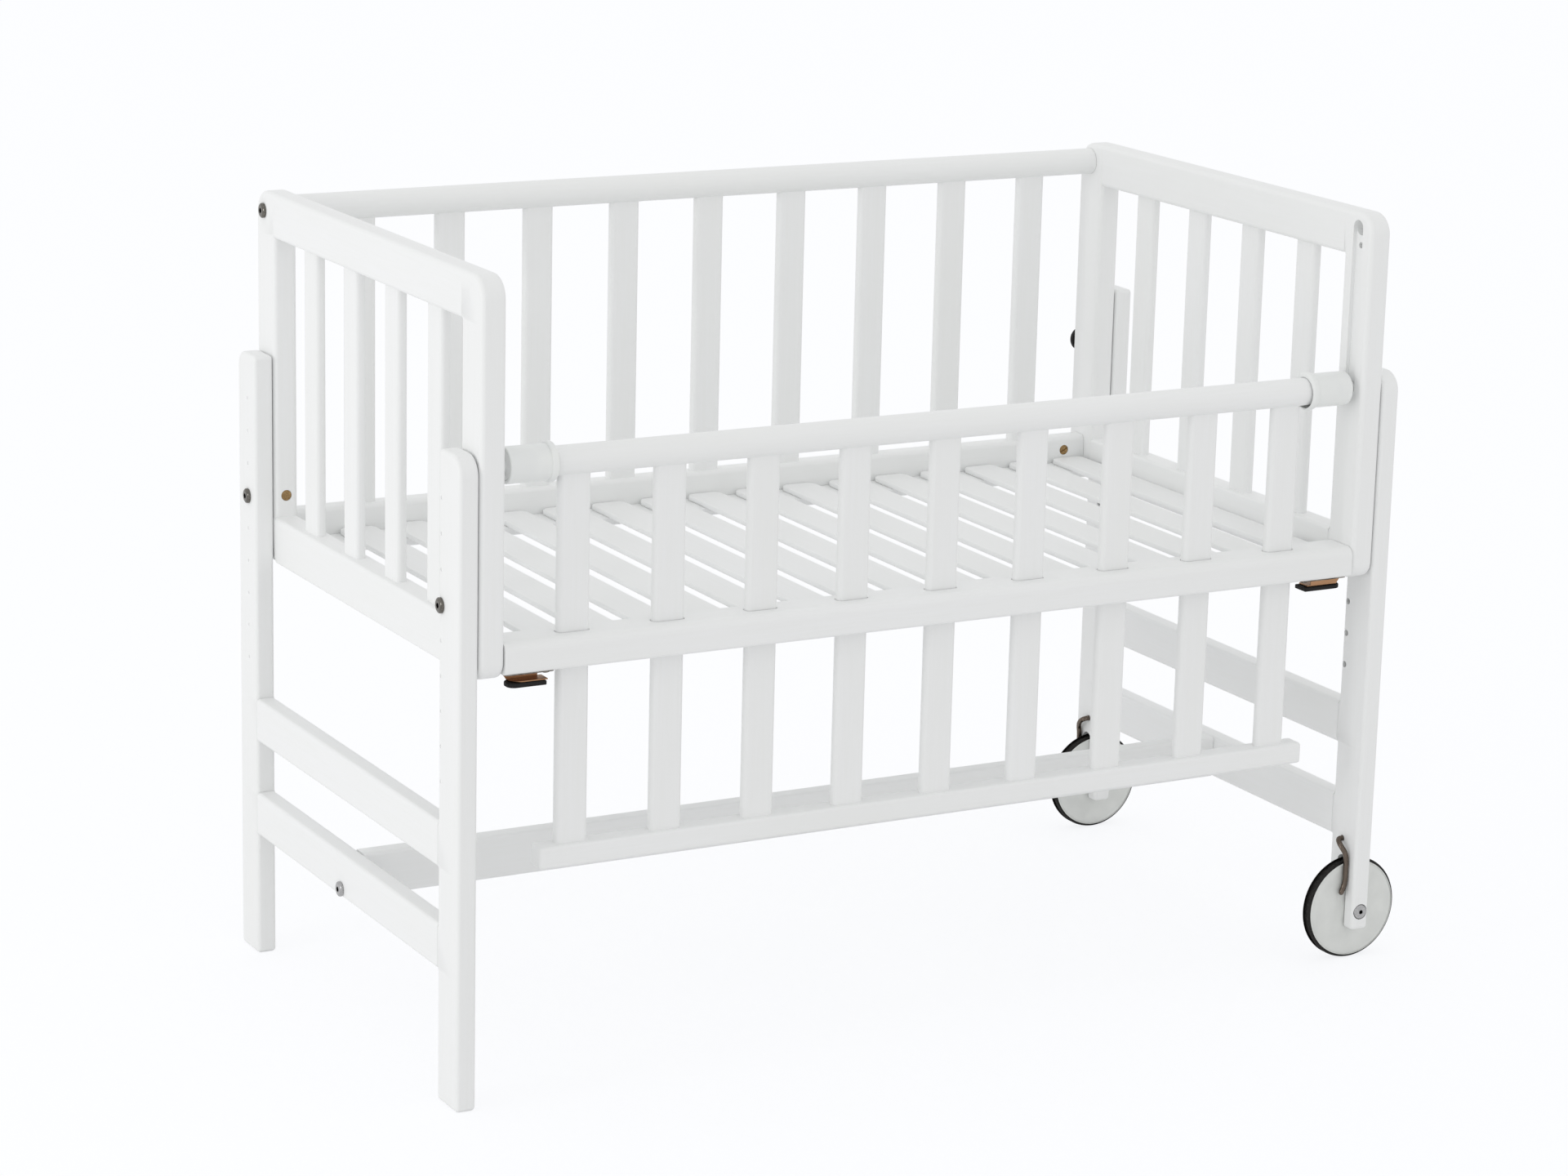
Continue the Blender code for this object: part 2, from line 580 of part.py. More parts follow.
def make_gate(crib, paint, plastic, steel):
    """The gate's own empty is on the middle of its top rail, where its slide starts."""
    gate = empty("gate", crib, (0, GATE_Y, GATE_RAIL_Z))
    bar_top = -GATE_RAIL_RADIUS * (1 - MORTISE_SHARE)
    lath_top = GATE_LATH_BOTTOM + GATE_LATH_HEIGHT - GATE_RAIL_Z
    lath_bottom = GATE_LATH_BOTTOM - GATE_RAIL_Z
    make_gate_rail(gate, paint, bar_top)

    end_x = INNER_X - GATE_LATH_END_GAP
    outline = centred((0, (lath_bottom + lath_top) / 2), GATE_LATH_DEPTH, GATE_LATH_HEIGHT, WOOD_EDGE)
    lath = piece("gate_lath", prism(outline, "X", -end_x, end_x), paint, gate, (0, 0, lath_bottom))
    holes = bmesh.new()
    for place in gate_bar_places():
        section = mortise_outline((place, 0), MORTISE_CLEARANCE)
        add_prism(holes, section, "Z", lath_top - BAR_TENON, lath_top + OVERRUN)
    cut(lath, holes, gate)
    for number, place in enumerate(gate_bar_places(), 1):
        bar = prism(bar_outline((place, 0), True), "Z", lath_top - BAR_TENON + SEAT_GAP, bar_top)
        piece(f"gate_bar_{number}", bar, paint, gate, (place, 0, bar_top))
    for side in (LEFT, RIGHT):
        make_sleeve(gate, plastic, side)
        make_sleeve_spring(gate, steel, side)


def cross_pin_x():
    """Distance from the middle to the pin that ties a sleeve to its latch."""
    return INNER_X + GROOVE_DEPTH - LATCH_TIP_GAP - LATCH_LENGTH


def make_gate_rail(gate, paint, bar_top):
    """A round rail with a guide at each end, bored for the latch pin and its spring."""
    end_x = INNER_X - GATE_RAIL_END_GAP
    outline = circle((0, 0), GATE_RAIL_RADIUS, ROUND_STEPS)
    rail = piece("gate_top_rail", prism(outline, "X", -end_x, end_x), paint, gate)
    holes = bmesh.new()
    for place in gate_bar_places():
        section = mortise_outline((place, 0), MORTISE_CLEARANCE)
        add_prism(holes, section, "Z", -GATE_RAIL_RADIUS - OVERRUN, bar_top + SEAT_GAP)
    cut(rail, holes, gate)
    guides = bmesh.new()
    bores = bmesh.new()
    pin_bores = bmesh.new()
    slots = bmesh.new()
    bore_low = cross_pin_x() - SLEEVE_TRAVEL - SPRING_LENGTH
    bore_high = end_x - GUIDE_LENGTH
    for side in (LEFT, RIGHT):
        guide = circle((0, 0), GUIDE_RADIUS, SCREW_STEPS)
        add_prism(guides, guide, "X", *span(side, bore_high, end_x + GUIDE_LENGTH))
        bore = circle((0, 0), SPRING_BORE_RADIUS, SCREW_STEPS)
        add_prism(bores, bore, "X", *span(side, bore_low, bore_high))
        bore = circle((0, 0), LATCH_RADIUS + LATCH_CLEARANCE, SCREW_STEPS)
        add_prism(pin_bores, bore, "X", *span(side, bore_high - OVERRUN, end_x + GUIDE_LENGTH + OVERRUN))
        width = 2 * (CROSS_PIN_RADIUS + LATCH_CLEARANCE)
        low, high = span(
            side,
            cross_pin_x() - SLEEVE_TRAVEL - CROSS_PIN_RADIUS - LATCH_CLEARANCE,
            cross_pin_x() + CROSS_PIN_RADIUS + LATCH_CLEARANCE,
        )
        slot = rounded((low, -width / 2), (high, width / 2), [0] * 4)
        add_prism(slots, slot, "Y", -GATE_RAIL_RADIUS - OVERRUN, GATE_RAIL_RADIUS + OVERRUN)
    join(rail, guides, gate)
    cut(rail, bores, gate)
    cut(rail, pin_bores, gate)
    cut(rail, slots, gate)


def make_sleeve(gate, plastic, side):
    """A ringed sleeve on the rail's end. Its cross pin draws the latch pin back when it is pulled."""
    bore = SLEEVE_BORE_RADIUS
    end_x = INNER_X - GATE_RAIL_END_GAP
    ring_end = SLEEVE_RING_LENGTH
    length = SLEEVE_LENGTH + SLEEVE_RING_LENGTH
    profile = [
        (bore, 0),
        (SLEEVE_RING_RADIUS - SLEEVE_ROUND, 0),
        (SLEEVE_RING_RADIUS, SLEEVE_ROUND),
        (SLEEVE_RING_RADIUS, ring_end - SLEEVE_ROUND),
        (SLEEVE_RING_RADIUS - SLEEVE_ROUND, ring_end),
        (SLEEVE_RADIUS, ring_end),
        (SLEEVE_RADIUS, length - SLEEVE_ROUND),
        (SLEEVE_RADIUS - SLEEVE_ROUND, length),
        (bore, length),
    ]
    turn = (0, side * QUARTER, 0)
    location = (side * (end_x - length), 0, 0)
    sleeve = placed(
        f"gate_sleeve_{SIDE_NAMES[side]}", turned(profile, ROUND_STEPS, True), plastic, gate, location, turn
    )
    latch_start = cross_pin_x() - CROSS_PIN_RADIUS / 2
    latch = circle((0, 0), LATCH_RADIUS, SCREW_STEPS)
    latch_end = cross_pin_x() + LATCH_LENGTH
    cross = circle((side * cross_pin_x(), 0), CROSS_PIN_RADIUS, HOLE_STEPS)
    wall = (bore + SLEEVE_RADIUS) / 2
    join(sleeve, prism(cross, "Y", -wall, wall), gate)
    join(sleeve, prism(latch, "X", *span(side, latch_start, latch_end)), gate)


def make_sleeve_spring(gate, steel, side):
    """A coil in the rail's bore that pushes the latch pin out. It lies behind the cross pin."""
    curve = bpy.data.curves.new(f"sleeve_spring_{SIDE_NAMES[side]}", "CURVE")
    curve.dimensions = "3D"
    curve.bevel_depth = SPRING_WIRE_RADIUS
    curve.bevel_resolution = 0
    curve.use_fill_caps = True
    coil_low = cross_pin_x() - SLEEVE_TRAVEL - SPRING_LENGTH + SPRING_WIRE_RADIUS + SEAT_GAP
    coil_high = cross_pin_x() - CROSS_PIN_RADIUS - SPRING_WIRE_RADIUS - SEAT_GAP
    count = SPRING_TURNS * SPRING_POINTS + 1
    spline = curve.splines.new("POLY")
    spline.points.add(count - 1)
    for number, point in enumerate(spline.points):
        angle = 2 * math.pi * number / SPRING_POINTS
        along = side * (coil_low + (coil_high - coil_low) * number / (count - 1))
        point.co = (along, SPRING_RADIUS * math.cos(angle), SPRING_RADIUS * math.sin(angle), 1)
    curve.materials.append(steel)
    link(bpy.data.objects.new(curve.name, curve), gate, (0, 0, 0), (0, 0, 0))


def make_legs(crib, paint):
    for side, depth in CORNERS:
        low_y, high_y = sorted((depth * INNER_Y, depth * FACE_Y))
        bottom = 0 if side == LEFT else FORK_BOTTOM
        corner_radii = (0, 0, 0, LEG_FRONT_RADIUS) if depth == FRONT else (0, 0, LEG_REAR_RADIUS, 0)
        outline = rounded((low_y, bottom), (high_y, LEG_TOP), corner_radii, CORNER_STEPS)
        origin = (side * LEG_MIDDLE_X, depth * (FACE_Y - POST_WIDTH / 2), bottom)
        name = f"leg_{DEPTH_NAMES[depth]}_{SIDE_NAMES[side]}"
        leg = piece(name, prism(outline, "X", *span(side, LEG_INNER_X, LEG_OUTER_X)), paint, crib, origin)
        soften(leg, LEG_EDGE)
        hole_y = FRONT_HOLE_Y if depth == FRONT else REAR_HOLE_Y
        holes = bmesh.new()
        for number in range(LEG_HOLE_COUNT):
            height = LEG_HOLE_TOP - number * LEG_HOLE_PITCH
            hole = circle((hole_y, height), LEG_HOLE_RADIUS, HOLE_STEPS)
            add_prism(holes, hole, "X", *span(side, LEG_INNER_X - OVERRUN, LEG_OUTER_X + OVERRUN))
        if side == RIGHT:
            hole = circle((brake_y(depth), BRAKE_PIVOT_Z), brake_hole_radius(), HOLE_STEPS)
            brake_end = LEG_INNER_X + BRAKE_STEM + SEAT_GAP
            add_prism(holes, hole, "X", LEG_INNER_X - OVERRUN, brake_end)
        cut(leg, holes, crib)
        if side == RIGHT:
            cut_fork(leg, crib, depth)


def wheel_y(depth):
    return depth * (FACE_Y - POST_WIDTH / 2)


def brake_y(depth):
    return depth * (FACE_Y - POST_WIDTH / 2 - BRAKE_HOLE_OFFSET)


def brake_hole_radius():
    return BRAKE_WIRE_RADIUS + BRAKE_HOLE_CLEARANCE


def cut_fork(leg, crib, depth):
    """A slot for the wheel, a hole for its axle and a seat for the axle's head."""
    top = AXLE_Z + WHEEL_RADIUS + FORK_TOP_CLEARANCE
    middle = wheel_y(depth)
    low = (middle - FORK_SLOT / 2, FORK_BOTTOM - OVERRUN)
    high = (middle + FORK_SLOT / 2, top)
    slot = rounded(low, high, [0] * 4)
    cut(leg, prism(slot, "X", LEG_INNER_X - OVERRUN, LEG_OUTER_X + OVERRUN), crib)
    seat = AXLE_HEAD_RADIUS + AXLE_SEAT_CLEARANCE
    seat_depth = AXLE_HEAD_HEIGHT - AXLE_HEAD_PROUD + SEAT_GAP
    bore = AXLE_RADIUS + AXLE_CLEARANCE
    profile = [
        (0, OVERRUN),
        (seat, OVERRUN),
        (seat, -seat_depth),
        (bore, -seat_depth),
        (bore, -POST_WIDTH - OVERRUN),
        (0, -POST_WIDTH - OVERRUN),
    ]
    location = (LEG_MIDDLE_X, depth * FACE_Y, AXLE_Z)
    cut(leg, turned(profile, SCREW_STEPS), crib, location, (-depth * QUARTER, 0, 0))


def make_leg_rails(crib, paint):
    end_y = INNER_Y - SEAT_GAP
    middle_y = STRETCHER_OFFSET
    for side in (LEFT, RIGHT):
        low_x, high_x = span(side, LEG_INNER_X, LEG_OUTER_X)
        for name, bottom in (("upper", UPPER_LEG_RAIL_BOTTOM), ("lower", LOWER_LEG_RAIL_BOTTOM)):
            outline = rounded((low_x, bottom), (high_x, bottom + LEG_RAIL_HEIGHT), [LEG_EDGE] * 4)
            origin = (side * LEG_MIDDLE_X, 0, bottom)
            rail = prism(outline, "Y", -end_y, end_y)
            rail = piece(f"leg_rail_{name}_{SIDE_NAMES[side]}", rail, paint, crib, origin)
            if name == "lower":
                hole = circle((middle_y, STRETCHER_BOLT_Z), BOLT_HOLE_RADIUS, HOLE_STEPS)
                cut(rail, prism(hole, "X", *span(side, LEG_INNER_X - OVERRUN, LEG_OUTER_X + OVERRUN)), crib)
    half = STRETCHER_THICKNESS / 2
    low = (middle_y - half, LOWER_LEG_RAIL_BOTTOM)
    high = (middle_y + half, LOWER_LEG_RAIL_BOTTOM + LEG_RAIL_HEIGHT)
    end_x = LEG_INNER_X - SEAT_GAP
    mesh = prism(rounded(low, high, [LEG_EDGE] * 4), "X", -end_x, end_x)
    stretcher = piece("stretcher", mesh, paint, crib, (0, middle_y, LOWER_LEG_RAIL_BOTTOM))
    holes = bmesh.new()
    for side in (LEFT, RIGHT):
        hole = circle((middle_y, STRETCHER_BOLT_Z), BOLT_HOLE_RADIUS, HOLE_STEPS)
        bolt_end = LEG_INNER_X - LONG_BOLT_DEPTH - BOLT_END_GAP
        add_prism(holes, hole, "X", *span(side, bolt_end, LEG_INNER_X + OVERRUN))
    cut(stretcher, holes, crib)


def make_screw(name, steel, parent, location, turn, radius, head_radius, head_height, length):
    """A socket screw. Its head's underside is on its own origin and its shank runs down -Z."""
    profile = [
        (0, head_height),
        (head_radius - BOLT_HEAD_ROUND, head_height),
        (head_radius, head_height - BOLT_HEAD_ROUND),
        (head_radius, 0),
        (radius, 0),
        (radius, -length),
        (0, -length),
    ]
    screw = placed(name, turned(profile, SCREW_STEPS), steel, parent, location, turn)
    socket = prism(
        circle((0, 0), SOCKET_RADIUS, SOCKET_SIDES), "Z", head_height - SOCKET_DEPTH, head_height + OVERRUN
    )
    cut(screw, socket, parent, location, turn)


def make_bolts(crib, steel):
    for side, depth in CORNERS:
        hole_y = FRONT_HOLE_Y if depth == FRONT else REAR_HOLE_Y
        length = LEG_THICKNESS + LEG_GAP + BOLT_DEPTH
        location = (side * (LEG_OUTER_X + SEAT_GAP), hole_y, BOLTED_Z)
        name = f"leg_bolt_{DEPTH_NAMES[depth]}_{SIDE_NAMES[side]}"
        make_bolt(name, steel, crib, location, side, length)
    for side in (LEFT, RIGHT):
        location = (side * (LEG_OUTER_X + SEAT_GAP), STRETCHER_OFFSET, STRETCHER_BOLT_Z)
        length = LEG_THICKNESS + LONG_BOLT_DEPTH
        make_bolt(f"stretcher_bolt_{SIDE_NAMES[side]}", steel, crib, location, side, length)
        location = (side * (PANEL_OUTER_X + SEAT_GAP), REAR_Y, REAR_RAIL_Z)
        length = PANEL_THICKNESS + LONG_BOLT_DEPTH
        make_bolt(f"rear_rail_bolt_{SIDE_NAMES[side]}", steel, crib, location, side, length)


def make_bolt(name, steel, crib, location, side, length):
    turn = (0, side * QUARTER, 0)
    make_screw(
        name, steel, crib, location, turn, BOLT_RADIUS, BOLT_HEAD_RADIUS, BOLT_HEAD_HEIGHT, length
    )


def make_wheels(crib, disc_plastic, rubber, steel):
    for depth in (FRONT, REAR):
        place = DEPTH_NAMES[depth]
        hub = (LEG_MIDDLE_X, wheel_y(depth), AXLE_Z)
        turn = (-depth * QUARTER, 0, 0)
        disc = turned(disc_profile(), WHEEL_STEPS, True)
        placed(f"wheel_disc_{place}", disc, disc_plastic, crib, hub, turn)
        placed(f"tyre_{place}", turned(tyre_profile(), WHEEL_STEPS, True), rubber, crib, hub, turn)
        head_y = depth * (FACE_Y + AXLE_HEAD_PROUD - AXLE_HEAD_HEIGHT)
        length = POST_WIDTH + AXLE_HEAD_PROUD - AXLE_HEAD_HEIGHT - SEAT_GAP
        make_screw(
            f"axle_screw_{place}",
            steel,
            crib,
            (LEG_MIDDLE_X, head_y, AXLE_Z),
            turn,
            AXLE_RADIUS,
            AXLE_HEAD_RADIUS,
            AXLE_HEAD_HEIGHT,
            length,
        )


def disc_profile():
    """Half section of the wheel: a bored disc with a groove for the tyre between two thin flanges."""
    half = WHEEL_WIDTH / 2
    bore = AXLE_RADIUS + AXLE_CLEARANCE
    groove = half - FLANGE_THICKNESS
    upper = [
        (bore, half),
        (FLANGE_RADIUS, half),
        (FLANGE_RADIUS, groove),
        (RIM_RADIUS, groove),
    ]
    return upper + [(radius, -height) for radius, height in reversed(upper)]


def tyre_profile():
    half = WHEEL_WIDTH / 2 - FLANGE_THICKNESS - SEAT_GAP
    inner = RIM_RADIUS + SEAT_GAP
    shoulder = FLANGE_RADIUS
    crown = half - (WHEEL_RADIUS - shoulder)
    outer = [(shoulder, half), (WHEEL_RADIUS, crown), (WHEEL_RADIUS, -crown), (shoulder, -half)]
    return [(inner, -half), (inner, half)] + outer


def brake_route(depth):
    """Middle line of the bent wire from inside the leg, over the tread and down the wheel's outer face."""
    pivot_y = brake_y(depth)
    side_y = wheel_y(depth) + depth * (WHEEL_WIDTH / 2 + BRAKE_DISC_GAP + BRAKE_WIRE_RADIUS)
    out = side_y - pivot_y
    run_x = LEG_INNER_X - BRAKE_LEG_GAP - BRAKE_WIRE_RADIUS
    route = [(LEG_INNER_X + BRAKE_STEM, pivot_y, BRAKE_PIVOT_Z)]
    for reach_share, out_share, drop_share in BRAKE_ROUTE_SHARES:
        height = BRAKE_PIVOT_Z - BRAKE_DROP * drop_share
        reach = BRAKE_REACH * reach_share
        route.append((LEG_INNER_X - reach, pivot_y + out * out_share, height))
    elbow = BRAKE_PIVOT_Z - BRAKE_DROP
    route.append((run_x, side_y, elbow + BRAKE_TIP_LENGTH / 2))
    route.append((run_x - BRAKE_WIRE_RADIUS / 4, side_y, elbow))
    tip_x = run_x - BRAKE_TIP_LENGTH * math.sin(BRAKE_TIP_TURN)
    route.append((tip_x, side_y, elbow - BRAKE_TIP_LENGTH * math.cos(BRAKE_TIP_TURN)))
    return route


def make_brakes(crib, wire_steel):
    """Each brake is one bent wire that turns in the leg about the line of its stem."""
    for depth in (FRONT, REAR):
        pivot = Vector((LEG_INNER_X, brake_y(depth), BRAKE_PIVOT_Z))
        curve = bpy.data.curves.new(f"brake_wire_{DEPTH_NAMES[depth]}", "CURVE")
        curve.dimensions = "3D"
        curve.bevel_depth = BRAKE_WIRE_RADIUS
        curve.bevel_resolution = 2
        curve.use_fill_caps = True
        route = brake_route(depth)
        spline = curve.splines.new("POLY")
        spline.points.add(len(route) - 1)
        for point, place in zip(spline.points, route):
            point.co = (*(Vector(place) - pivot), 1)
        curve.materials.append(wire_steel)
        link(bpy.data.objects.new(curve.name, curve), crib, pivot, (0, 0, 0))


def bracket_pivot(side):
    inner = INNER_X - BRACKET_POST_GAP - BRACKET_PLATE_LENGTH
    depth = -FACE_Y + BRACKET_INSET + BRACKET_PLATE_WIDTH / 2
    return side * (inner + BRACKET_PIVOT_MARGIN), depth


def make_brackets(crib, dark_steel, bronze, rubber):
    plate_top = FRONT_RAIL_BOTTOM - SEAT_GAP
    plate_bottom = plate_top - BRACKET_PLATE_THICKNESS
    arm_top = plate_bottom - SEAT_GAP
    arm_bottom = arm_top - ARM_THICKNESS
    pad_top = arm_bottom - SEAT_GAP
    for side in (LEFT, RIGHT):
        name = SIDE_NAMES[side]
        pivot_x, pivot_y = bracket_pivot(side)
        outer = INNER_X - BRACKET_POST_GAP
        low_x, high_x = span(side, outer - BRACKET_PLATE_LENGTH, outer)
        half = BRACKET_PLATE_WIDTH / 2
        corners = [BRACKET_CORNER] * 4
        outline = rounded((low_x, pivot_y - half), (high_x, pivot_y + half), corners)
        plate = prism(outline, "Z", plate_bottom, plate_top)
        plate = piece(f"bracket_plate_{name}", plate, dark_steel, crib, (pivot_x, pivot_y, plate_bottom))
        rivet = circle((pivot_x, pivot_y), BRACKET_PIVOT_RADIUS, SCREW_STEPS)
        rivet_top = plate_top - BRACKET_PLATE_THICKNESS / 2
        join(plate, prism(rivet, "Z", arm_bottom, rivet_top), crib)

        half = ARM_WIDTH / 2
        low_x, high_x = sorted((pivot_x - side * ARM_TAIL, pivot_x + side * ARM_REACH))
        corners = arm_radii(side, half - PAD_EDGE)
        outline = rounded((low_x, pivot_y - half), (high_x, pivot_y + half), corners)
        origin = (pivot_x, pivot_y, arm_bottom)
        arm = piece(f"bracket_arm_{name}", prism(outline, "Z", arm_bottom, arm_top), bronze, crib, origin)
        hole = circle((pivot_x, pivot_y), BRACKET_PIVOT_RADIUS + BRACKET_PIVOT_CLEARANCE, SCREW_STEPS)
        cut(arm, prism(hole, "Z", arm_bottom - OVERRUN, arm_top + OVERRUN), crib)

        half = PAD_WIDTH / 2
        tip = pivot_x + side * ARM_REACH
        low_x, high_x = sorted((tip - side * PAD_LENGTH, tip))
        corners = arm_radii(side, half - PAD_EDGE)
        outline = rounded((low_x, pivot_y - half), (high_x, pivot_y + half), corners)
        mesh = prism(outline, "Z", pad_top - PAD_THICKNESS, pad_top)
        pad = piece(f"bracket_pad_{name}", mesh, rubber, crib, (pivot_x, pivot_y, pad_top))
        soften(pad, PAD_EDGE, 1)


def arm_radii(side, free_end):
    """Corner radii of an arm or pad whose free end, towards the post, is round."""
    if side == RIGHT:
        return (BRACKET_CORNER, free_end, free_end, BRACKET_CORNER)
    return (free_end, BRACKET_CORNER, BRACKET_CORNER, free_end)


def make_bumpers(crib, rubber):
    """Round buffers that keep the rear side off the wall."""
    profile = [
        (0, BUMPER_HEIGHT),
        (BUMPER_RADIUS - BUMPER_ROUND, BUMPER_HEIGHT),
        (BUMPER_RADIUS, BUMPER_HEIGHT - BUMPER_ROUND),
        (BUMPER_RADIUS, 0),
        (0, 0),
    ]
    for side in (LEFT, RIGHT):
        location = (side * (INNER_X + PANEL_THICKNESS / 2), FACE_Y + SEAT_GAP, BUMPER_Z)
        mesh = turned(profile, ROUND_STEPS)
        placed(f"bumper_{SIDE_NAMES[side]}", mesh, rubber, crib, location, (-QUARTER, 0, 0))


def whole_crib_middle():
    """Middle of the finished crib in the frame of the cot, from the pieces that reach furthest."""
    left = -(LEG_OUTER_X + SEAT_GAP + BOLT_HEAD_HEIGHT)
    right = LEG_MIDDLE_X + WHEEL_RADIUS
    front = -(FACE_Y + AXLE_HEAD_PROUD)
    rear = FACE_Y + SEAT_GAP + BUMPER_HEIGHT
    return (left + right) / 2, (front + rear) / 2


def build():
    clear_scene()
    paint = finish_material("white_painted_wood", (0.80, 0.81, 0.80), 0.45, 0)
    plastic = finish_material("white_plastic", (0.80, 0.81, 0.80), 0.35, 0)
    steel = finish_material("dark_steel", (0.16, 0.16, 0.15), 0.35, 1)
    bright_steel = finish_material("zinc_steel", (0.42, 0.41, 0.40), 0.3, 1)
    wire_steel = finish_material("bronzed_wire", (0.15, 0.12, 0.10), 0.4, 1)
    bronze = finish_material("bronzed_strip", (0.42, 0.22, 0.11), 0.35, 1)
    rubber = finish_material("black_rubber", (0.02, 0.02, 0.02), 0.7, 0)
    middle_x, middle_y = whole_crib_middle()
    crib = empty("crib", None, (-middle_x, -middle_y, 0))
    make_posts(crib, paint)
    make_end_panels(crib, paint)
    make_rear_side(crib, paint)
    make_front_rail(crib, paint)
    make_base(crib, paint)
    make_gate(crib, paint, plastic, bright_steel)
    make_legs(crib, paint)
    make_leg_rails(crib, paint)
    make_bolts(crib, steel)
    make_wheels(crib, plastic, rubber, bright_steel)
    make_brakes(crib, wire_steel)
    make_brackets(crib, steel, bronze, rubber)
    make_bumpers(crib, rubber)


build()
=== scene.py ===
import math

import bmesh
import bpy
from mathutils import Matrix, Vector


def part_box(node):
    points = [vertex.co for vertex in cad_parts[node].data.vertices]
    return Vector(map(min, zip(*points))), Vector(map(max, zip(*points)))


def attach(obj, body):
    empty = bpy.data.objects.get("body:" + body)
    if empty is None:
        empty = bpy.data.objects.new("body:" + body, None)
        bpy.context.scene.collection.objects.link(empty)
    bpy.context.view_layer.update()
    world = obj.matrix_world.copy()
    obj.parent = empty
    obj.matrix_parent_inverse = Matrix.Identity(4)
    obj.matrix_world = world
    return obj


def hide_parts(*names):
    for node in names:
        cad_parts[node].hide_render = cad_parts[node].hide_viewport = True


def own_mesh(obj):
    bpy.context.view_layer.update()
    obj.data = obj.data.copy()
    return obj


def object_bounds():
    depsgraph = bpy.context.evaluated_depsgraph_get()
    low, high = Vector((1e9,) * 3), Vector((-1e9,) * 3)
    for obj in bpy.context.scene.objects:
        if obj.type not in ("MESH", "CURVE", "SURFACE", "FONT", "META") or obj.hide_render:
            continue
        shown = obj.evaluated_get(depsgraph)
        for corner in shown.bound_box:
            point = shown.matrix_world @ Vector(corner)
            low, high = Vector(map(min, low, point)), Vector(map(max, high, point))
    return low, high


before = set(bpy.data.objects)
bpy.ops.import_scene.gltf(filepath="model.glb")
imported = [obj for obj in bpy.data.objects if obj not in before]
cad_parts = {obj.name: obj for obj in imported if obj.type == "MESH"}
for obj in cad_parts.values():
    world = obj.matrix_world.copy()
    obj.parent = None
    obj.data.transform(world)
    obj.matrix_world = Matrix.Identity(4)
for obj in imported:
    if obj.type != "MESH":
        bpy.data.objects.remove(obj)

cad_low, cad_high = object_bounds()

# The finished look of a white lacquered bedside crib. Metres, +Z up, the wheels at +X and the gate at -Y.
# Places come from the boxes of the CAD nodes. Sizes that a box doesn't give are named here.

MM = 0.001  # also how far a cutter runs past the face that it starts at
TINY = 0.00001  # two places nearer than this are the same
QUARTER = math.pi / 2
LEFT, RIGHT = -1, 1
FRONT, REAR = -1, 1
SIDE = {LEFT: "left", RIGHT: "right"}
DEPTH = {FRONT: "front", REAR: "rear"}
AXIS = {"X": 0, "Y": 1, "Z": 2}
TURN = {"X": (0, QUARTER, 0), "Y": (QUARTER, 0, 0), "Z": (0, 0, 0)}

# Camera, as fitted to the photograph
CAMERA_PLACE = Vector((-1.8502, -3.2765, 1.3051))
CAMERA_AZIMUTH = math.radians(-28.80)
CAMERA_ELEVATION = math.radians(14.31)
CAMERA_ROLL = math.radians(1.398)
CAMERA_LENS = 97.44  # on a sensor 36 mm wide

# Wood
POST_EDGE = 4.5 * MM
SOFT_EDGE = 3 * MM
LEG_EDGE = 3.6 * MM
POST_TOP_RADIUS = 20 * MM
POST_FOOT_RADIUS = 15 * MM
LEG_FRONT_RADIUS = 18 * MM
LEG_REAR_RADIUS = 12 * MM
BAR_WIDTH = 29 * MM
BAR_THICKNESS = 10 * MM
BAR_EDGE = 4 * MM
TENON = 8 * MM  # how deep a bar is let into a rail
END_TOP_RAIL_HEIGHT = 40 * MM
END_LOW_RAIL_HEIGHT = 42.5 * MM
END_BAR_COUNT = 4
END_BAR_MARGIN = 54 * MM
REAR_BAR_COUNT = 9
REAR_BAR_MARGIN = 54.9 * MM
REAR_LOW_RAIL_HEIGHT = 44.5 * MM
REAR_LOW_RAIL_ROUND = 5 * MM
FRONT_RAIL_ROUND = 8 * MM
SLOT_CLEARANCE = 0.8 * MM
SLAT_COUNT = 16
SLAT_WIDTH = 35 * MM
SLAT_THICKNESS = 5 * MM
SLAT_CORNER = 8 * MM
SLAT_EDGE = 1.2 * MM
BASE_LEFT_GAP = 43 * MM
BASE_RIGHT_GAP = 4.5 * MM
BATTEN_WIDTH = 41 * MM
BATTEN_EDGE = 1 * MM
SLAT_FRONT_GAP = 0.6 * MM
SLAT_REAR_GAP = 1 * MM

# Holes and grooves in the wood
HOLE_COUNT = 9
HOLE_PITCH = 30 * MM
HOLE_DROP = 40 * MM
HOLE_RADIUS = 3.0 * MM
HOLE_SKIN = 1 * MM  # wood left over a hole that no bolt has been through yet
DIMPLE_RADIUS = 1.6 * MM
DIMPLE_DEPTH = 0.7 * MM
GROOVE_WIDTH = 14 * MM
GROOVE_DEPTH = 4 * MM
PLUNGE_DEPTH = 11 * MM  # where the router went in, at the top of the groove
GROOVE_RIM = 0.25 * MM
GROOVE_TOP_MARGIN = 7 * MM
CATCH_DROP = 30 * MM
CATCH_RADIUS = 2.8 * MM
CATCH_DEPTH = 8 * MM
FORK_SLOT = 16 * MM
FORK_TOP_CLEARANCE = 3 * MM
SEAT_CLEARANCE = 0.4 * MM
SEAT_RING = 0.6 * MM  # gap round the axle's head
SEAT_DEPTH = 4 * MM
BRAKE_HOLE_DEPTH = 12.3 * MM
BRAKE_HOLE_HEIGHT = 115.4 * MM
BRAKE_HOLE_OFFSET = 2.3 * MM  # from the middle of the leg inwards

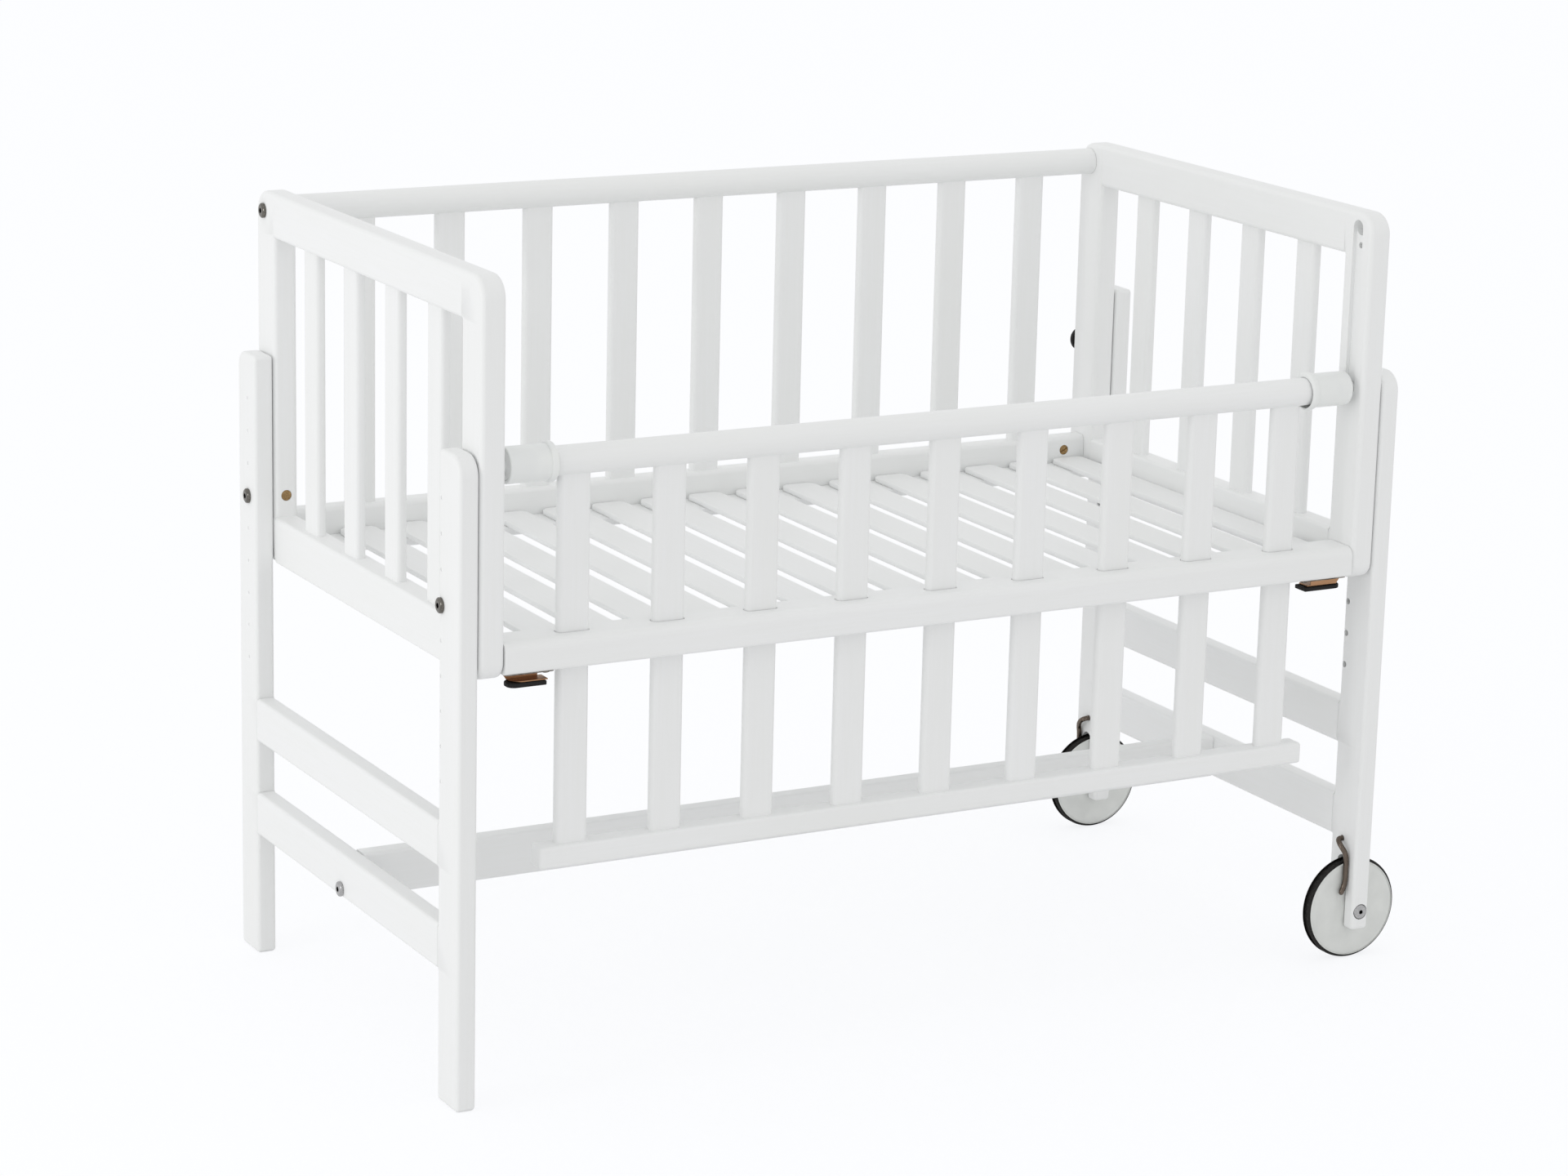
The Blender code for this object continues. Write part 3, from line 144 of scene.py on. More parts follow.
# Gate rail and its release sleeves
RAIL_RADIUS = 12.5 * MM
BAR_TOP_DROP = RAIL_RADIUS / 3  # from the middle of a round rail down to the tops of its bars
RAIL_END_GAP = 6.5 * MM
GUIDE_RADIUS = 5.9 * MM
GUIDE_LENGTH = 8.2 * MM
LATCH_RADIUS = 2.5 * MM
LATCH_LENGTH = 28.4 * MM
LATCH_REACH = 2.2 * MM  # of the latch's tip into the groove
CROSS_PIN_RADIUS = 1.5 * MM
PIN_CLEARANCE = 0.3 * MM
CROSS_PIN_EDGE = 0.2 * MM
LATCH_EDGE = 0.4 * MM
SPRING_BORE_RADIUS = 4.5 * MM
SPRING_LENGTH = 16 * MM
SPRING_WIRE_RADIUS = 0.5 * MM
SPRING_TURNS = 6
SLEEVE_TRAVEL = 5 * MM
SLEEVE_BORE = 12.8 * MM
SLEEVE_RADIUS = 15.5 * MM
SLEEVE_RING_RADIUS = 17.25 * MM
SLEEVE_RING_LENGTH = 6.6 * MM
SLEEVE_RING_EDGE = 2.4 * MM
SLEEVE_EDGE = 1.2 * MM
SLEEVE_LENGTH = 43.5 * MM
SLEEVE_MOUTH_RADIUS = 14.1 * MM
SLEEVE_MOUTH_DEPTH = 16 * MM
SLEEVE_MOUTH_DROP = 1.1 * MM
SLEEVE_MOUTH_SHIFT = 0.4 * MM

# Bolts, screws and nuts
BOLT_RADIUS = 3 * MM
POST_BOLT_DEPTH = 21 * MM
BOLT_HOLE_RADIUS = 3.4 * MM
BOLT_HEAD_RADIUS = 6.75 * MM
BOLT_HEAD_HEIGHT = 3 * MM
BOLT_SOCKET = 2.6 * MM
AXLE_RADIUS = 4 * MM
AXLE_HEAD_RADIUS = 6.8 * MM
AXLE_HEAD_HEIGHT = 3 * MM
AXLE_SOCKET = 2.2 * MM
NUT_RADIUS = 4.8 * MM
NUT_DEPTH = 12 * MM
NUT_SLOT = 1.3 * MM
NUT_CLEARANCE = 0.2 * MM
NUT_EDGE = 0.35 * MM
NUT_SINK = 0.2 * MM  # of its end below the face
NUT_RISE = 1 * MM  # of the nut in a post above its bolt
POST_NUT_TURN = 0.6  # radians, as the screwdriver left it
RAIL_NUT_TURN = -0.5
RAIL_NUT_REACH = 400 * MM  # from the middle of the cot
RAIL_NUT_HEIGHT = 400 * MM

# Wheels and brakes
WHEEL_RADIUS = 48.5 * MM
WHEEL_WIDTH = 13 * MM
FLANGE_RADIUS = 45.9 * MM
FLANGE_THICKNESS = 1.4 * MM
RIM_RADIUS = 44 * MM
BRAKE_RADIUS = 2.5 * MM

# Brackets, measured from the middle of the cot outwards and from the rivet towards the strip's open side
PLATE_REACH = (375.5 * MM, 420.5 * MM)
PLATE_HALF_WIDTH = 9.6 * MM
PLATE_GAP = 0.1 * MM  # from a plate down to its strip
STRIP_REACH = (376 * MM, 418.5 * MM)
STRIP_WEB_START = 386 * MM
STRIP_LEAF_START = 382 * MM
STRIP_SPREAD = (-3.2 * MM, 9.8 * MM)
STRIP_TOP_EDGE = 4 * MM  # the top leaf is narrower than the lower one
STRIP_CORNER = 8 * MM
STRIP_THICKNESS = 1.1 * MM
STRIP_DROP = 6.3 * MM
STRIP_END_SLOPE = 4.5 * MM
PIVOT_REACH = 380 * MM
PAD_REACH = {LEFT: (383.5 * MM, 417.5 * MM), RIGHT: (378.5 * MM, 418.5 * MM)}  # glued on by hand
PAD_SPREAD = (-5.4 * MM, 11.2 * MM)
PAD_ROUND = 7 * MM
PAD_EDGE = 0.9 * MM
PAD_GAP = 0.3 * MM  # from the strip down to the pad
PLATE_CORNER = 3 * MM
FOLD_EDGE = 0.25 * MM
RIVET_RADIUS = 2.4 * MM
RIVET_HEAD_RADIUS = 3.8 * MM
RIVET_HOLE = 2.6 * MM
RIVET_GAP = 0.3 * MM  # from the strip's leaf down to the rivet's head

FINISH = {}  # name of a finish: its material and the record's slot

INNER_LOW_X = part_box("post_front_left")[1].x
INNER_HIGH_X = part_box("post_front_right")[0].x
COT_X = (INNER_LOW_X + INNER_HIGH_X) / 2
INNER_X = (INNER_HIGH_X - INNER_LOW_X) / 2
FACE_FRONT_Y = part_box("post_front_left")[0].y
FACE_REAR_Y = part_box("post_rear_left")[1].y
COT_Y = (FACE_FRONT_Y + FACE_REAR_Y) / 2
COT_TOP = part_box("post_front_left")[1].z
INNER_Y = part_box("post_rear_left")[0].y - COT_Y
END_RAIL_BOTTOM = COT_TOP - END_TOP_RAIL_HEIGHT
GATE_Z = sum(corner.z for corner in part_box("gate_sleeve_left")) / 2
GATE_Y = sum(corner.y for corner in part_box("gate_sleeve_left")) / 2
GATE_AXIS = (0, GATE_Y, GATE_Z)  # a point on the round rail's middle line, along X
REAR_Y = sum(corner.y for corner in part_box("rear_top_rail")) / 2
BOLT_Z = sum(corner.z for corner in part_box("leg_bolt_front_left")) / 2
GATE_BARS = [sum(corner.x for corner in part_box(f"gate_bar_{number}")) / 2 for number in range(1, 10)]


def middle(node):
    low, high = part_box(node)
    return (low + high) / 2


def evenly(count, low, high, width):
    """Middles of equal pieces laid side by side, the outer two reaching low and high."""
    pitch = (high - low - width) / (count - 1)
    return [low + width / 2 + index * pitch for index in range(count)]


# Modelling steps, each one that a person would take by hand


def select_only(piece):
    bpy.ops.object.select_all(action="DESELECT")
    piece.select_set(True)
    bpy.context.view_layer.objects.active = piece


def settle(piece, name):
    """Gives a new piece its name and puts its place into its mesh."""
    select_only(piece)
    bpy.ops.object.transform_apply(location=True, rotation=True, scale=True)
    piece.name = piece.data.name = name
    return piece


def add_block(name, low, high):
    """A cube at the place and size of a sawn piece."""
    low, high = Vector(low), Vector(high)
    bpy.ops.object.select_all(action="DESELECT")
    bpy.ops.mesh.primitive_cube_add(size=1, location=(low + high) / 2)
    piece = bpy.context.object
    piece.scale = high - low
    return settle(piece, name)


def moved_to(place, axis, value):
    """A place moved along an axis to a value."""
    moved = Vector(place)
    moved[AXIS[axis]] = value
    return moved


def add_rod(name, axis, place, start, end, radius, sides=64):
    """A cylinder along an axis through a place, from start to end of that axis."""
    start, end = moved_to(place, axis, start), moved_to(place, axis, end)
    length, centre = (end - start).length, (start + end) / 2
    bpy.ops.object.select_all(action="DESELECT")
    bpy.ops.mesh.primitive_cylinder_add(
        vertices=sides, radius=radius, depth=length, location=centre, rotation=TURN[axis]
    )
    return settle(bpy.context.object, name)


def pick(piece, kind, wanted):
    """Opens a piece in edit mode with only the wanted points, edges or faces selected."""
    select_only(piece)
    bpy.ops.object.mode_set(mode="EDIT")
    bpy.ops.mesh.select_mode(type=kind)
    bpy.ops.mesh.select_all(action="DESELECT")
    mesh = bmesh.from_edit_mesh(piece.data)
    for item in {"VERT": mesh.verts, "EDGE": mesh.edges, "FACE": mesh.faces}[kind]:
        if wanted(item):
            item.select_set(True)
    bmesh.update_edit_mesh(piece.data)


def leave_edit():
    bpy.ops.object.mode_set(mode="OBJECT")


def runs(edge, axis):
    """True for an edge that runs along an axis."""
    return abs((edge.verts[1].co - edge.verts[0].co).normalized()[AXIS[axis]]) > 0.99


def lies(item, axis, value):
    """True for an edge or face whose points all lie at one value of an axis."""
    return all(abs(point.co[AXIS[axis]] - value) < TINY for point in item.verts)


def is_sharp(edge):
    return len(edge.link_faces) == 2 and edge.calc_face_angle() > math.radians(40)


def round_edges(piece, wanted, radius, segments=4):
    pick(piece, "EDGE", wanted)
    bpy.ops.mesh.bevel(offset=radius, segments=segments, affect="EDGES")
    leave_edit()


def saw_line(piece, axis, value):
    """Marks a line round a piece, so that a rounding can stop there."""
    origin = Vector()
    pick(piece, "FACE", lambda face: True)
    bpy.ops.mesh.bisect(plane_co=moved_to(origin, axis, value), plane_no=moved_to(origin, axis, 1))
    leave_edit()


def apply_modifier(piece, modifier):
    select_only(piece)
    bpy.ops.object.modifier_apply(modifier=modifier.name)


def combine(piece, other, operation):
    """Cuts another solid out of a piece or joins it on. The other solid is used up."""
    boolean = piece.modifiers.new("shape", "BOOLEAN")
    boolean.operation = operation
    boolean.solver = "EXACT"
    boolean.object = other
    apply_modifier(piece, boolean)
    select_only(other)
    bpy.ops.object.delete()


def cut(piece, other):
    combine(piece, other, "DIFFERENCE")


def drill(piece, axis, place, start, end, radius, sides=32):
    cut(piece, add_rod("drill", axis, place, start, end, radius, sides))


def turn_piece(name, profile, sides, ring=False):
    """A circle extruded and resized from one step of a turned profile to the next, about +Z."""
    bpy.ops.object.select_all(action="DESELECT")
    bpy.ops.mesh.primitive_circle_add(vertices=sides, radius=profile[0][0], location=(0, 0, profile[0][1]))
    piece = settle(bpy.context.object, name)
    bpy.ops.object.mode_set(mode="EDIT")
    bpy.ops.mesh.select_mode(type="EDGE")
    bpy.ops.mesh.select_all(action="SELECT")
    for (old_radius, old_height), (radius, height) in zip(profile, profile[1:]):
        bpy.ops.mesh.extrude_edges_move(TRANSFORM_OT_translate={"value": (0, 0, height - old_height)})
        ratio = radius / old_radius
        bpy.ops.transform.resize(value=(ratio, ratio, 1), center_override=(0, 0, height))
    bpy.ops.mesh.select_all(action="DESELECT")
    bpy.ops.mesh.select_non_manifold()
    if ring:
        bpy.ops.mesh.bridge_edge_loops()
    else:
        bpy.ops.mesh.fill_holes(sides=0)
    bpy.ops.mesh.select_all(action="SELECT")
    bpy.ops.mesh.normals_make_consistent(inside=False)
    leave_edit()
    return piece


def turned_corner(radius, end, width, height=None, steps=4):
    """Steps of a profile from an end face out to the wall. A negative width is for the lower end."""
    drop = width if height is None else height
    angles = [QUARTER * step / steps for step in range(steps + 1)]
    return [
        (radius - abs(width) * (1 - math.sin(angle)), end - drop * (1 - math.cos(angle))) for angle in angles
    ]


def set_down(piece, place, turn):
    """Turns and moves a piece that was modelled about the origin."""
    piece.rotation_euler = turn
    piece.location = place
    return settle(piece, piece.name)


def soften(piece, width, segments=3, angle=40):
    bevel = piece.modifiers.new("soft_edges", "BEVEL")
    bevel.width = width
    bevel.segments = segments
    bevel.limit_method = "ANGLE"
    bevel.angle_limit = math.radians(angle)
    apply_modifier(piece, bevel)


def copy_of(piece, name, shift):
    """A second piece with its own mesh, moved from the first."""
    select_only(piece)
    bpy.ops.object.duplicate()
    bpy.ops.transform.translate(value=shift)
    return settle(bpy.context.object, name)


def finish(piece, look, body, *nodes):
    """Smooths the shading of a modelled piece, gives it its finish and sets it on its body."""
    select_only(piece)
    bpy.ops.object.shade_smooth_by_angle(angle=math.radians(35))
    shading = piece.modifiers.new("even_shading", "WEIGHTED_NORMAL")
    shading.keep_sharp = True
    apply_modifier(piece, shading)
    piece.data.materials.clear()
    piece.data.materials.append(FINISH[look][0])
    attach(piece, body)
    if nodes:
        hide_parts(*nodes)


# Finishes


def colour(code):
    """Linear colour of an sRGB hex code."""
    shares = [int(code[place : place + 2], 16) / 255 for place in (1, 3, 5)]
    linear = [share / 12.92 if share <= 0.04045 else ((share + 0.055) / 1.055) ** 2.4 for share in shares]
    return (*linear, 1)


def add_node(tree, kind, inputs=None, **settings):
    """Adds a node with its settings, and fills or links its inputs."""
    node = tree.nodes.new(kind)
    for name, value in settings.items():
        setattr(node, name, value)
    for name, value in (inputs or {}).items():
        if isinstance(value, bpy.types.NodeSocket):
            tree.links.new(value, node.inputs[name])
        else:
            node.inputs[name].default_value = value
    return node


def new_material(name):
    """An empty material with a Principled shader on its output."""
    material = bpy.data.materials.new(name)
    material.use_nodes = True
    tree = material.node_tree
    tree.nodes.clear()
    shader = add_node(tree, "ShaderNodeBsdfPrincipled")
    add_node(tree, "ShaderNodeOutputMaterial", {"Surface": shader.outputs["BSDF"]})
    return material, tree, shader


def noise(tree, size, stretch=(1, 1, 1), detail=3.0):
    """Noise whose grains are about size metres across, stretched along the axes."""
    place = add_node(tree, "ShaderNodeTexCoord").outputs["Object"]
    scale = [1 / (size * share) for share in stretch]
    mapping = add_node(tree, "ShaderNodeMapping", {"Vector": place, "Scale": scale})
    grains = {"Vector": mapping.outputs["Vector"], "Scale": 1.0, "Detail": detail}
    return add_node(tree, "ShaderNodeTexNoise", grains).outputs["Fac"]


def between(tree, factor, low, high):
    """A value that follows a pattern between two ends."""
    span = {"Value": factor, "From Min": 0.3, "From Max": 0.7, "To Min": low, "To Max": high}
    return add_node(tree, "ShaderNodeMapRange", span).outputs["Result"]


def tint(tree, factor, first, second):
    """A colour that follows a pattern between two hex colours."""
    ramp = add_node(tree, "ShaderNodeValToRGB", {"Fac": factor})
    for stop, code, place in zip(ramp.color_ramp.elements, (first, second), (0.35, 0.65)):
        stop.color = colour(code)
        stop.position = place
    return ramp.outputs["Color"]


def relief(tree, height, depth, below=None):
    """Bump of a real depth in metres, laid over the bump below it."""
    inputs = {"Height": height, "Distance": depth, "Strength": 1.0}
    if below:
        inputs["Normal"] = below
    return add_node(tree, "ShaderNodeBump", inputs).outputs["Normal"]


def white_lacquer(name, grain):
    """Solid beech, sanded and sprayed with white furniture lacquer, satin.

    The lacquer closes the wood, so the eye gets an even neutral white, the orange peel of the spray as a
    soft break in the sheen, and only a breath of the beech's grain along each piece. The grain is drawn 2 mm
    wide, four times coarser than in the wood, or it would not show.
    """
    material, tree, shader = new_material(name)
    along = [30.0 if index == AXIS[grain] else 1.0 for index in range(3)]
    fibres = noise(tree, 2 * MM, along, 4.0)
    boards = noise(tree, 90 * MM, [3.0 if index == AXIS[grain] else 1.0 for index in range(3)], 1.0)
    spray = noise(tree, 1.6 * MM, detail=2.0)
    mixed = add_node(tree, "ShaderNodeMath", {0: fibres, 1: boards}, operation="MULTIPLY_ADD")
    mixed.inputs[2].default_value = 0.25
    tree.links.new(tint(tree, mixed.outputs["Value"], "#F0F1F0", "#F2F3F3"), shader.inputs["Base Color"])
    tree.links.new(between(tree, spray, 0.44, 0.54), shader.inputs["Roughness"])
    normal = relief(tree, fibres, 0.006 * MM)
    tree.links.new(relief(tree, spray, 0.012 * MM, normal), shader.inputs["Normal"])
    shader.inputs["IOR"].default_value = 1.49
    return material


def moulded_plastic(name, dark, pale, flow, detail, grit, rough, depth):
    """ABS or polyamide, injection moulded in a spark-eroded tool.

    The tool's fine even texture makes the gloss soft and grey. The polyamide is greyer than the lacquer,
    with faint flow marks from the mould.
    """
    material, tree, shader = new_material(name)
    cloud = noise(tree, flow, detail=detail)
    spark = noise(tree, grit, detail=2.0)
    tree.links.new(tint(tree, cloud, dark, pale), shader.inputs["Base Color"])
    tree.links.new(between(tree, spark, rough, rough + 0.12), shader.inputs["Roughness"])
    tree.links.new(relief(tree, spark, depth), shader.inputs["Normal"])
    shader.inputs["IOR"].default_value = 1.53
    return material


def vulcanised_rubber(name, dark, pale, dust):
    """Black rubber, vulcanised in a mould: dull, with a fine bloom that greys it where it is worn."""
    material, tree, shader = new_material(name)
    bloom = noise(tree, dust, detail=4.0)
    grit = noise(tree, 0.8 * MM, detail=2.0)
    tree.links.new(tint(tree, bloom, dark, pale), shader.inputs["Base Color"])
    tree.links.new(between(tree, bloom, 0.55, 0.75), shader.inputs["Roughness"])
    tree.links.new(relief(tree, grit, 0.04 * MM), shader.inputs["Normal"])
    shader.inputs["IOR"].default_value = 1.52
    shader.inputs["Specular IOR Level"].default_value = 0.2
    return material


def plated_steel(name, dark, pale, rough, stretch=(1, 1, 1), size=1.5 * MM):
    """Steel with a thin plated or blackened coat over drawn or pressed metal.

    The coat keeps the fine lines of the drawing, so a highlight breaks up along them and the colour pools
    darker between them. On the bracket plate and its rivets the pale streaks are painted glints.
    """
    material, tree, shader = new_material(name)
    lines = noise(tree, size, stretch, 4.0)
    tree.links.new(tint(tree, lines, dark, pale), shader.inputs["Base Color"])
    tree.links.new(between(tree, lines, rough - 0.06, rough + 0.08), shader.inputs["Roughness"])
    tree.links.new(relief(tree, lines, 0.02 * MM), shader.inputs["Normal"])
    shader.inputs["Metallic"].default_value = 1.0
    return material


def make_finishes():
    for grain in "XYZ":
        lacquer = white_lacquer(f"white_lacquer_grain_{grain.lower()}", grain)
        FINISH[f"lacquer_{grain}"] = (lacquer, "white_painted_wood")
    plastics = (
        ("sleeve", "moulded_white_abs", "#E9EBEA", "#EEF0EE", 25 * MM, 1.0, 0.7 * MM, 0.30, 0.015 * MM),
        ("wheel", "moulded_wheel_polyamide", "#DADCD9", "#E0E2DF", 18 * MM, 2.0, 0.9 * MM, 0.34, 0.02 * MM),
    )
    for look, *mix in plastics:
        FINISH[look] = (moulded_plastic(*mix), "white_plastic")
    rubbers = (
        ("rubber", "black_rubber", "moulded_black_rubber", "#1B1A1B", "#242322", 6 * MM),
        ("tyre", "tyre_rubber", "rolled_tyre_rubber", "#1A1918", "#282624", 4 * MM),
    )
    for look, slot, *mix in rubbers:
        FINISH[look] = (vulcanised_rubber(*mix), slot)
    copper = ("copper_toned_strip_steel", "#A17B5B", "#B18868", 0.30, (10, 1, 1), 0.5 * MM)
    steels = (
        ("bolt", "dark_steel", "black_nickel_bolt_steel", "#605D58", "#76736D", 0.13),
        # dark steel streaked with pale silver along X: the pale streaks are painted glints
        ("plate", "dark_steel", "blackened_plate_steel_painted_glints", "#433F3B", "#9D978F", 0.26, (8, 1, 1)),
        ("zinc", "zinc_steel", "zinc_steel", "#A3A3A4", "#B4B3B2", 0.27),
        ("wire", "bronzed_wire", "bronzed_drawn_wire", "#5F554D", "#6D6259", 0.26, (1, 1, 9)),
        ("strip", "bronzed_strip", *copper),
        # near-black steel laid into the screw sockets: painted shade in the recesses
        ("socket", None, "painted_socket_shade", "#1B1A19", "#2A2827", 0.5),
        ("nut", None, "brass_toned_nut_steel", "#8A6F4C", "#B29468", 0.38),
    )
    for look, slot, *coat in steels:
        FINISH[look] = (plated_steel(*coat), slot)


# Cot


def make_upright(name, node, depth, radii, edge, joints):
    """A post or leg: outer corners rounded at its top and foot, and soft edges that stop at its rails."""
    low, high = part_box(node)
    outer_y = low.y if depth == FRONT else high.y
    inner_y = high.y if depth == FRONT else low.y
    piece = add_block(name, low, high)
    for radius, height in zip(radii, (high.z, low.z)):
        if radius:
            round_edges(
                piece, lambda e: runs(e, "X") and lies(e, "Y", outer_y) and lies(e, "Z", height), radius, 10
            )
    for joint in joints:
        for height in joint:
            if low.z < height < high.z:
                saw_line(piece, "Z", height)

    def is_free(e):
        if not is_sharp(e):
            return False
        if not lies(e, "Y", inner_y):
            return True
        height = (e.verts[0].co.z + e.verts[1].co.z) / 2
        return not any(bottom - TINY < height < top + TINY for bottom, top in joints)

    round_edges(piece, is_free, edge, 6)
    return piece


def make_posts():
    low_rail_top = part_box("end_grille_left")[0].z + END_LOW_RAIL_HEIGHT
    joints = ((END_RAIL_BOTTOM, COT_TOP), (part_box("end_grille_left")[0].z, low_rail_top))
    for side in (LEFT, RIGHT):
        for depth in (FRONT, REAR):
            corner = f"{DEPTH[depth]}_{SIDE[side]}"
            node = f"post_{corner}"
            radii = (POST_TOP_RADIUS, POST_FOOT_RADIUS)
            post = make_upright(f"{corner}_post", node, depth, radii, POST_EDGE, joints)
            low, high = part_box(node)
            bolt = middle(f"leg_bolt_{corner}")
            outside = (high.x if side == RIGHT else low.x) + side * MM
            bolt_end = outside - side * POST_BOLT_DEPTH
            drill(post, "X", bolt, bolt_end, outside, BOLT_HOLE_RADIUS)
            if depth == REAR:
                rail = middle("rear_top_rail")
                drill(post, "X", rail, low.x - MM, high.x + MM, BOLT_HOLE_RADIUS)
                if side == LEFT:
                    drill_nut_seat(post, ((low.x + high.x) / 2, low.y, bolt.z + NUT_RISE))
            else:
                cut_groove(post, side)
            finish(post, "lacquer_Z", "root", node)


def cut_groove(post, side):
    """The slot that the gate's guide runs in, with round ends, and the latch's catch hole near its top."""
    face = COT_X + side * INNER_X
    floor = face + side * GROOVE_DEPTH
    start = face - side * MM
    low_x, high_x = sorted((start, floor))
    bottom = GATE_Z - GROOVE_WIDTH / 2
    half = GROOVE_WIDTH / 2
    top = COT_TOP - GROOVE_TOP_MARGIN
    groove = add_block("groove", (low_x, GATE_Y - half, bottom), (high_x, GATE_Y + half, top))
    round_edges(groove, lambda e: runs(e, "X"), half - TINY, 10)
    cut(post, groove)
    arch = (0, GATE_Y, top - half)
    drill(post, "X", arch, start, face + side * PLUNGE_DEPTH, half - TINY, 40)
    catch = (0, GATE_Y, COT_TOP - CATCH_DROP)
    drill(post, "X", catch, start, floor + side * CATCH_DEPTH, CATCH_RADIUS)

    def is_rim(e):
        return is_sharp(e) and lies(e, "X", face) and abs(middle_of(e).y - GATE_Y) < half + TINY

    round_edges(post, is_rim, GROOVE_RIM, 2)


def middle_of(edge):
    return (edge.verts[0].co + edge.verts[1].co) / 2


def drill_nut_seat(piece, place):
    """A blind hole in the face towards the gate for a cross-bored nut."""
    face = place[1]
    drill(piece, "Y", place, face - MM, face + NUT_DEPTH + MM, NUT_RADIUS + NUT_CLEARANCE)


def make_bar(name, low, high, body, node):
    """A flat upright bar with round edges."""
    bar = add_block(name, low, high)
    round_edges(bar, lambda e: runs(e, "Z"), BAR_EDGE, 6)
    finish(bar, "lacquer_Z", body, node)


def make_end_panels():
    inner_low, inner_high = COT_Y - INNER_Y, COT_Y + INNER_Y
    places = evenly(END_BAR_COUNT, inner_low + END_BAR_MARGIN, inner_high - END_BAR_MARGIN, BAR_WIDTH)
    for side in (LEFT, RIGHT):
        name = SIDE[side]
        node = f"end_top_rail_{name}"
        low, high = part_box(node)
        rail = add_block(f"{name}_end_top_rail", (low.x, inner_low, low.z), (high.x, inner_high, high.z))
        round_edges(rail, lambda e: runs(e, "Y"), POST_EDGE, 6)
        finish(rail, "lacquer_Y", "root", node)
        node = f"end_grille_{name}"
        low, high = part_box(node)
        rail_top = low.z + END_LOW_RAIL_HEIGHT
        rail = add_block(f"{name}_end_low_rail", (low.x, inner_low, low.z), (high.x, inner_high, rail_top))
        round_edges(rail, lambda e: runs(e, "Y"), SOFT_EDGE, 5)
        finish(rail, "lacquer_Y", "root", node)
        bar_x = (low.x + high.x) / 2
        for number, place in enumerate(places, 1):
            bar_low = (bar_x - BAR_THICKNESS / 2, place - BAR_WIDTH / 2, rail_top - TENON)
            bar_high = (bar_x + BAR_THICKNESS / 2, place + BAR_WIDTH / 2, END_RAIL_BOTTOM + TENON)
            make_bar(f"{name}_end_bar_{number}", bar_low, bar_high, "root", node)


def make_rear_side():
    low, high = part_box("rear_top_rail")
    rail = middle("rear_top_rail")
    top_rail = add_rod("rear_round_rail", "X", rail, low.x, high.x, RAIL_RADIUS, 72)
    finish(top_rail, "lacquer_X", "root", "rear_top_rail")
    low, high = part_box("rear_grille")
    rail_top = low.z + REAR_LOW_RAIL_HEIGHT
    low_rail = add_block("rear_low_rail", low, (high.x, high.y, rail_top))
    round_edges(low_rail, lambda e: runs(e, "X") and lies(e, "Z", rail_top), REAR_LOW_RAIL_ROUND, 6)
    round_edges(low_rail, lambda e: runs(e, "X") and lies(e, "Z", low.z), SOFT_EDGE, 4)
    drill_nut_seat(low_rail, (COT_X + RAIL_NUT_REACH, low.y, RAIL_NUT_HEIGHT))
    finish(low_rail, "lacquer_X", "root", "rear_grille")
    margin = REAR_BAR_MARGIN
    places = evenly(REAR_BAR_COUNT, INNER_LOW_X + margin, INNER_HIGH_X - margin, BAR_WIDTH)
    for number, place in enumerate(places, 1):
        bar_low = (place - BAR_WIDTH / 2, REAR_Y - BAR_THICKNESS / 2, rail_top - TENON)
        bar_high = (place + BAR_WIDTH / 2, REAR_Y + BAR_THICKNESS / 2, rail.z - BAR_TOP_DROP)
        make_bar(f"rear_bar_{number}", bar_low, bar_high, "root", "rear_grille")


def make_front_rail():
    low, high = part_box("front_rail")
    rail = add_block("front_low_rail", low, high)
    round_edges(
        rail, lambda e: runs(e, "X") and lies(e, "Z", high.z) and lies(e, "Y", low.y), FRONT_RAIL_ROUND, 8
    )
    round_edges(rail, lambda e: runs(e, "X") and is_sharp(e), SOFT_EDGE, 4)
    half_width = BAR_WIDTH / 2 + SLOT_CLEARANCE
    half_depth = BAR_THICKNESS / 2 + SLOT_CLEARANCE
    for place in GATE_BARS:
        slot_low = (place - half_width, GATE_Y - half_depth, low.z - MM)
        slot_high = (place + half_width, GATE_Y + half_depth, high.z + MM)
        slot = add_block("slot", slot_low, slot_high)
        round_edges(slot, lambda e: runs(e, "Z"), BAR_EDGE + SLOT_CLEARANCE, 6)
        cut(rail, slot)
    finish(rail, "lacquer_X", "root", "front_rail")


def make_base():
    """Sixteen slats on two battens."""
    low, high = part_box("slatted_base")
    slat_bottom = high.z - SLAT_THICKNESS
    places = evenly(SLAT_COUNT, INNER_LOW_X + BASE_LEFT_GAP, INNER_HIGH_X - BASE_RIGHT_GAP, SLAT_WIDTH)
    first = places[0]
    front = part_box("front_rail")[1].y + SLAT_FRONT_GAP
    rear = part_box("rear_grille")[0].y - SLAT_REAR_GAP
    slat = add_block(
        "slat_1", (first - SLAT_WIDTH / 2, front, slat_bottom), (first + SLAT_WIDTH / 2, rear, high.z)
    )
    round_edges(slat, lambda e: runs(e, "Z"), SLAT_CORNER, 8)
    soften(slat, SLAT_EDGE, 3)
    slats = [slat]
    for number, place in enumerate(places[1:], 2):
        slats.append(copy_of(slat, f"slat_{number}", (place - first, 0, 0)))
    for slat in slats:
        finish(slat, "lacquer_Y", "root", "slatted_base")
    for name, y in (("front", low.y), ("rear", high.y - BATTEN_WIDTH)):
        batten = add_block(f"{name}_batten", (low.x, y, low.z), (high.x, y + BATTEN_WIDTH, slat_bottom))
        round_edges(batten, lambda e: runs(e, "X"), BATTEN_EDGE, 3)
        finish(batten, "lacquer_X", "root", "slatted_base")


# Gate


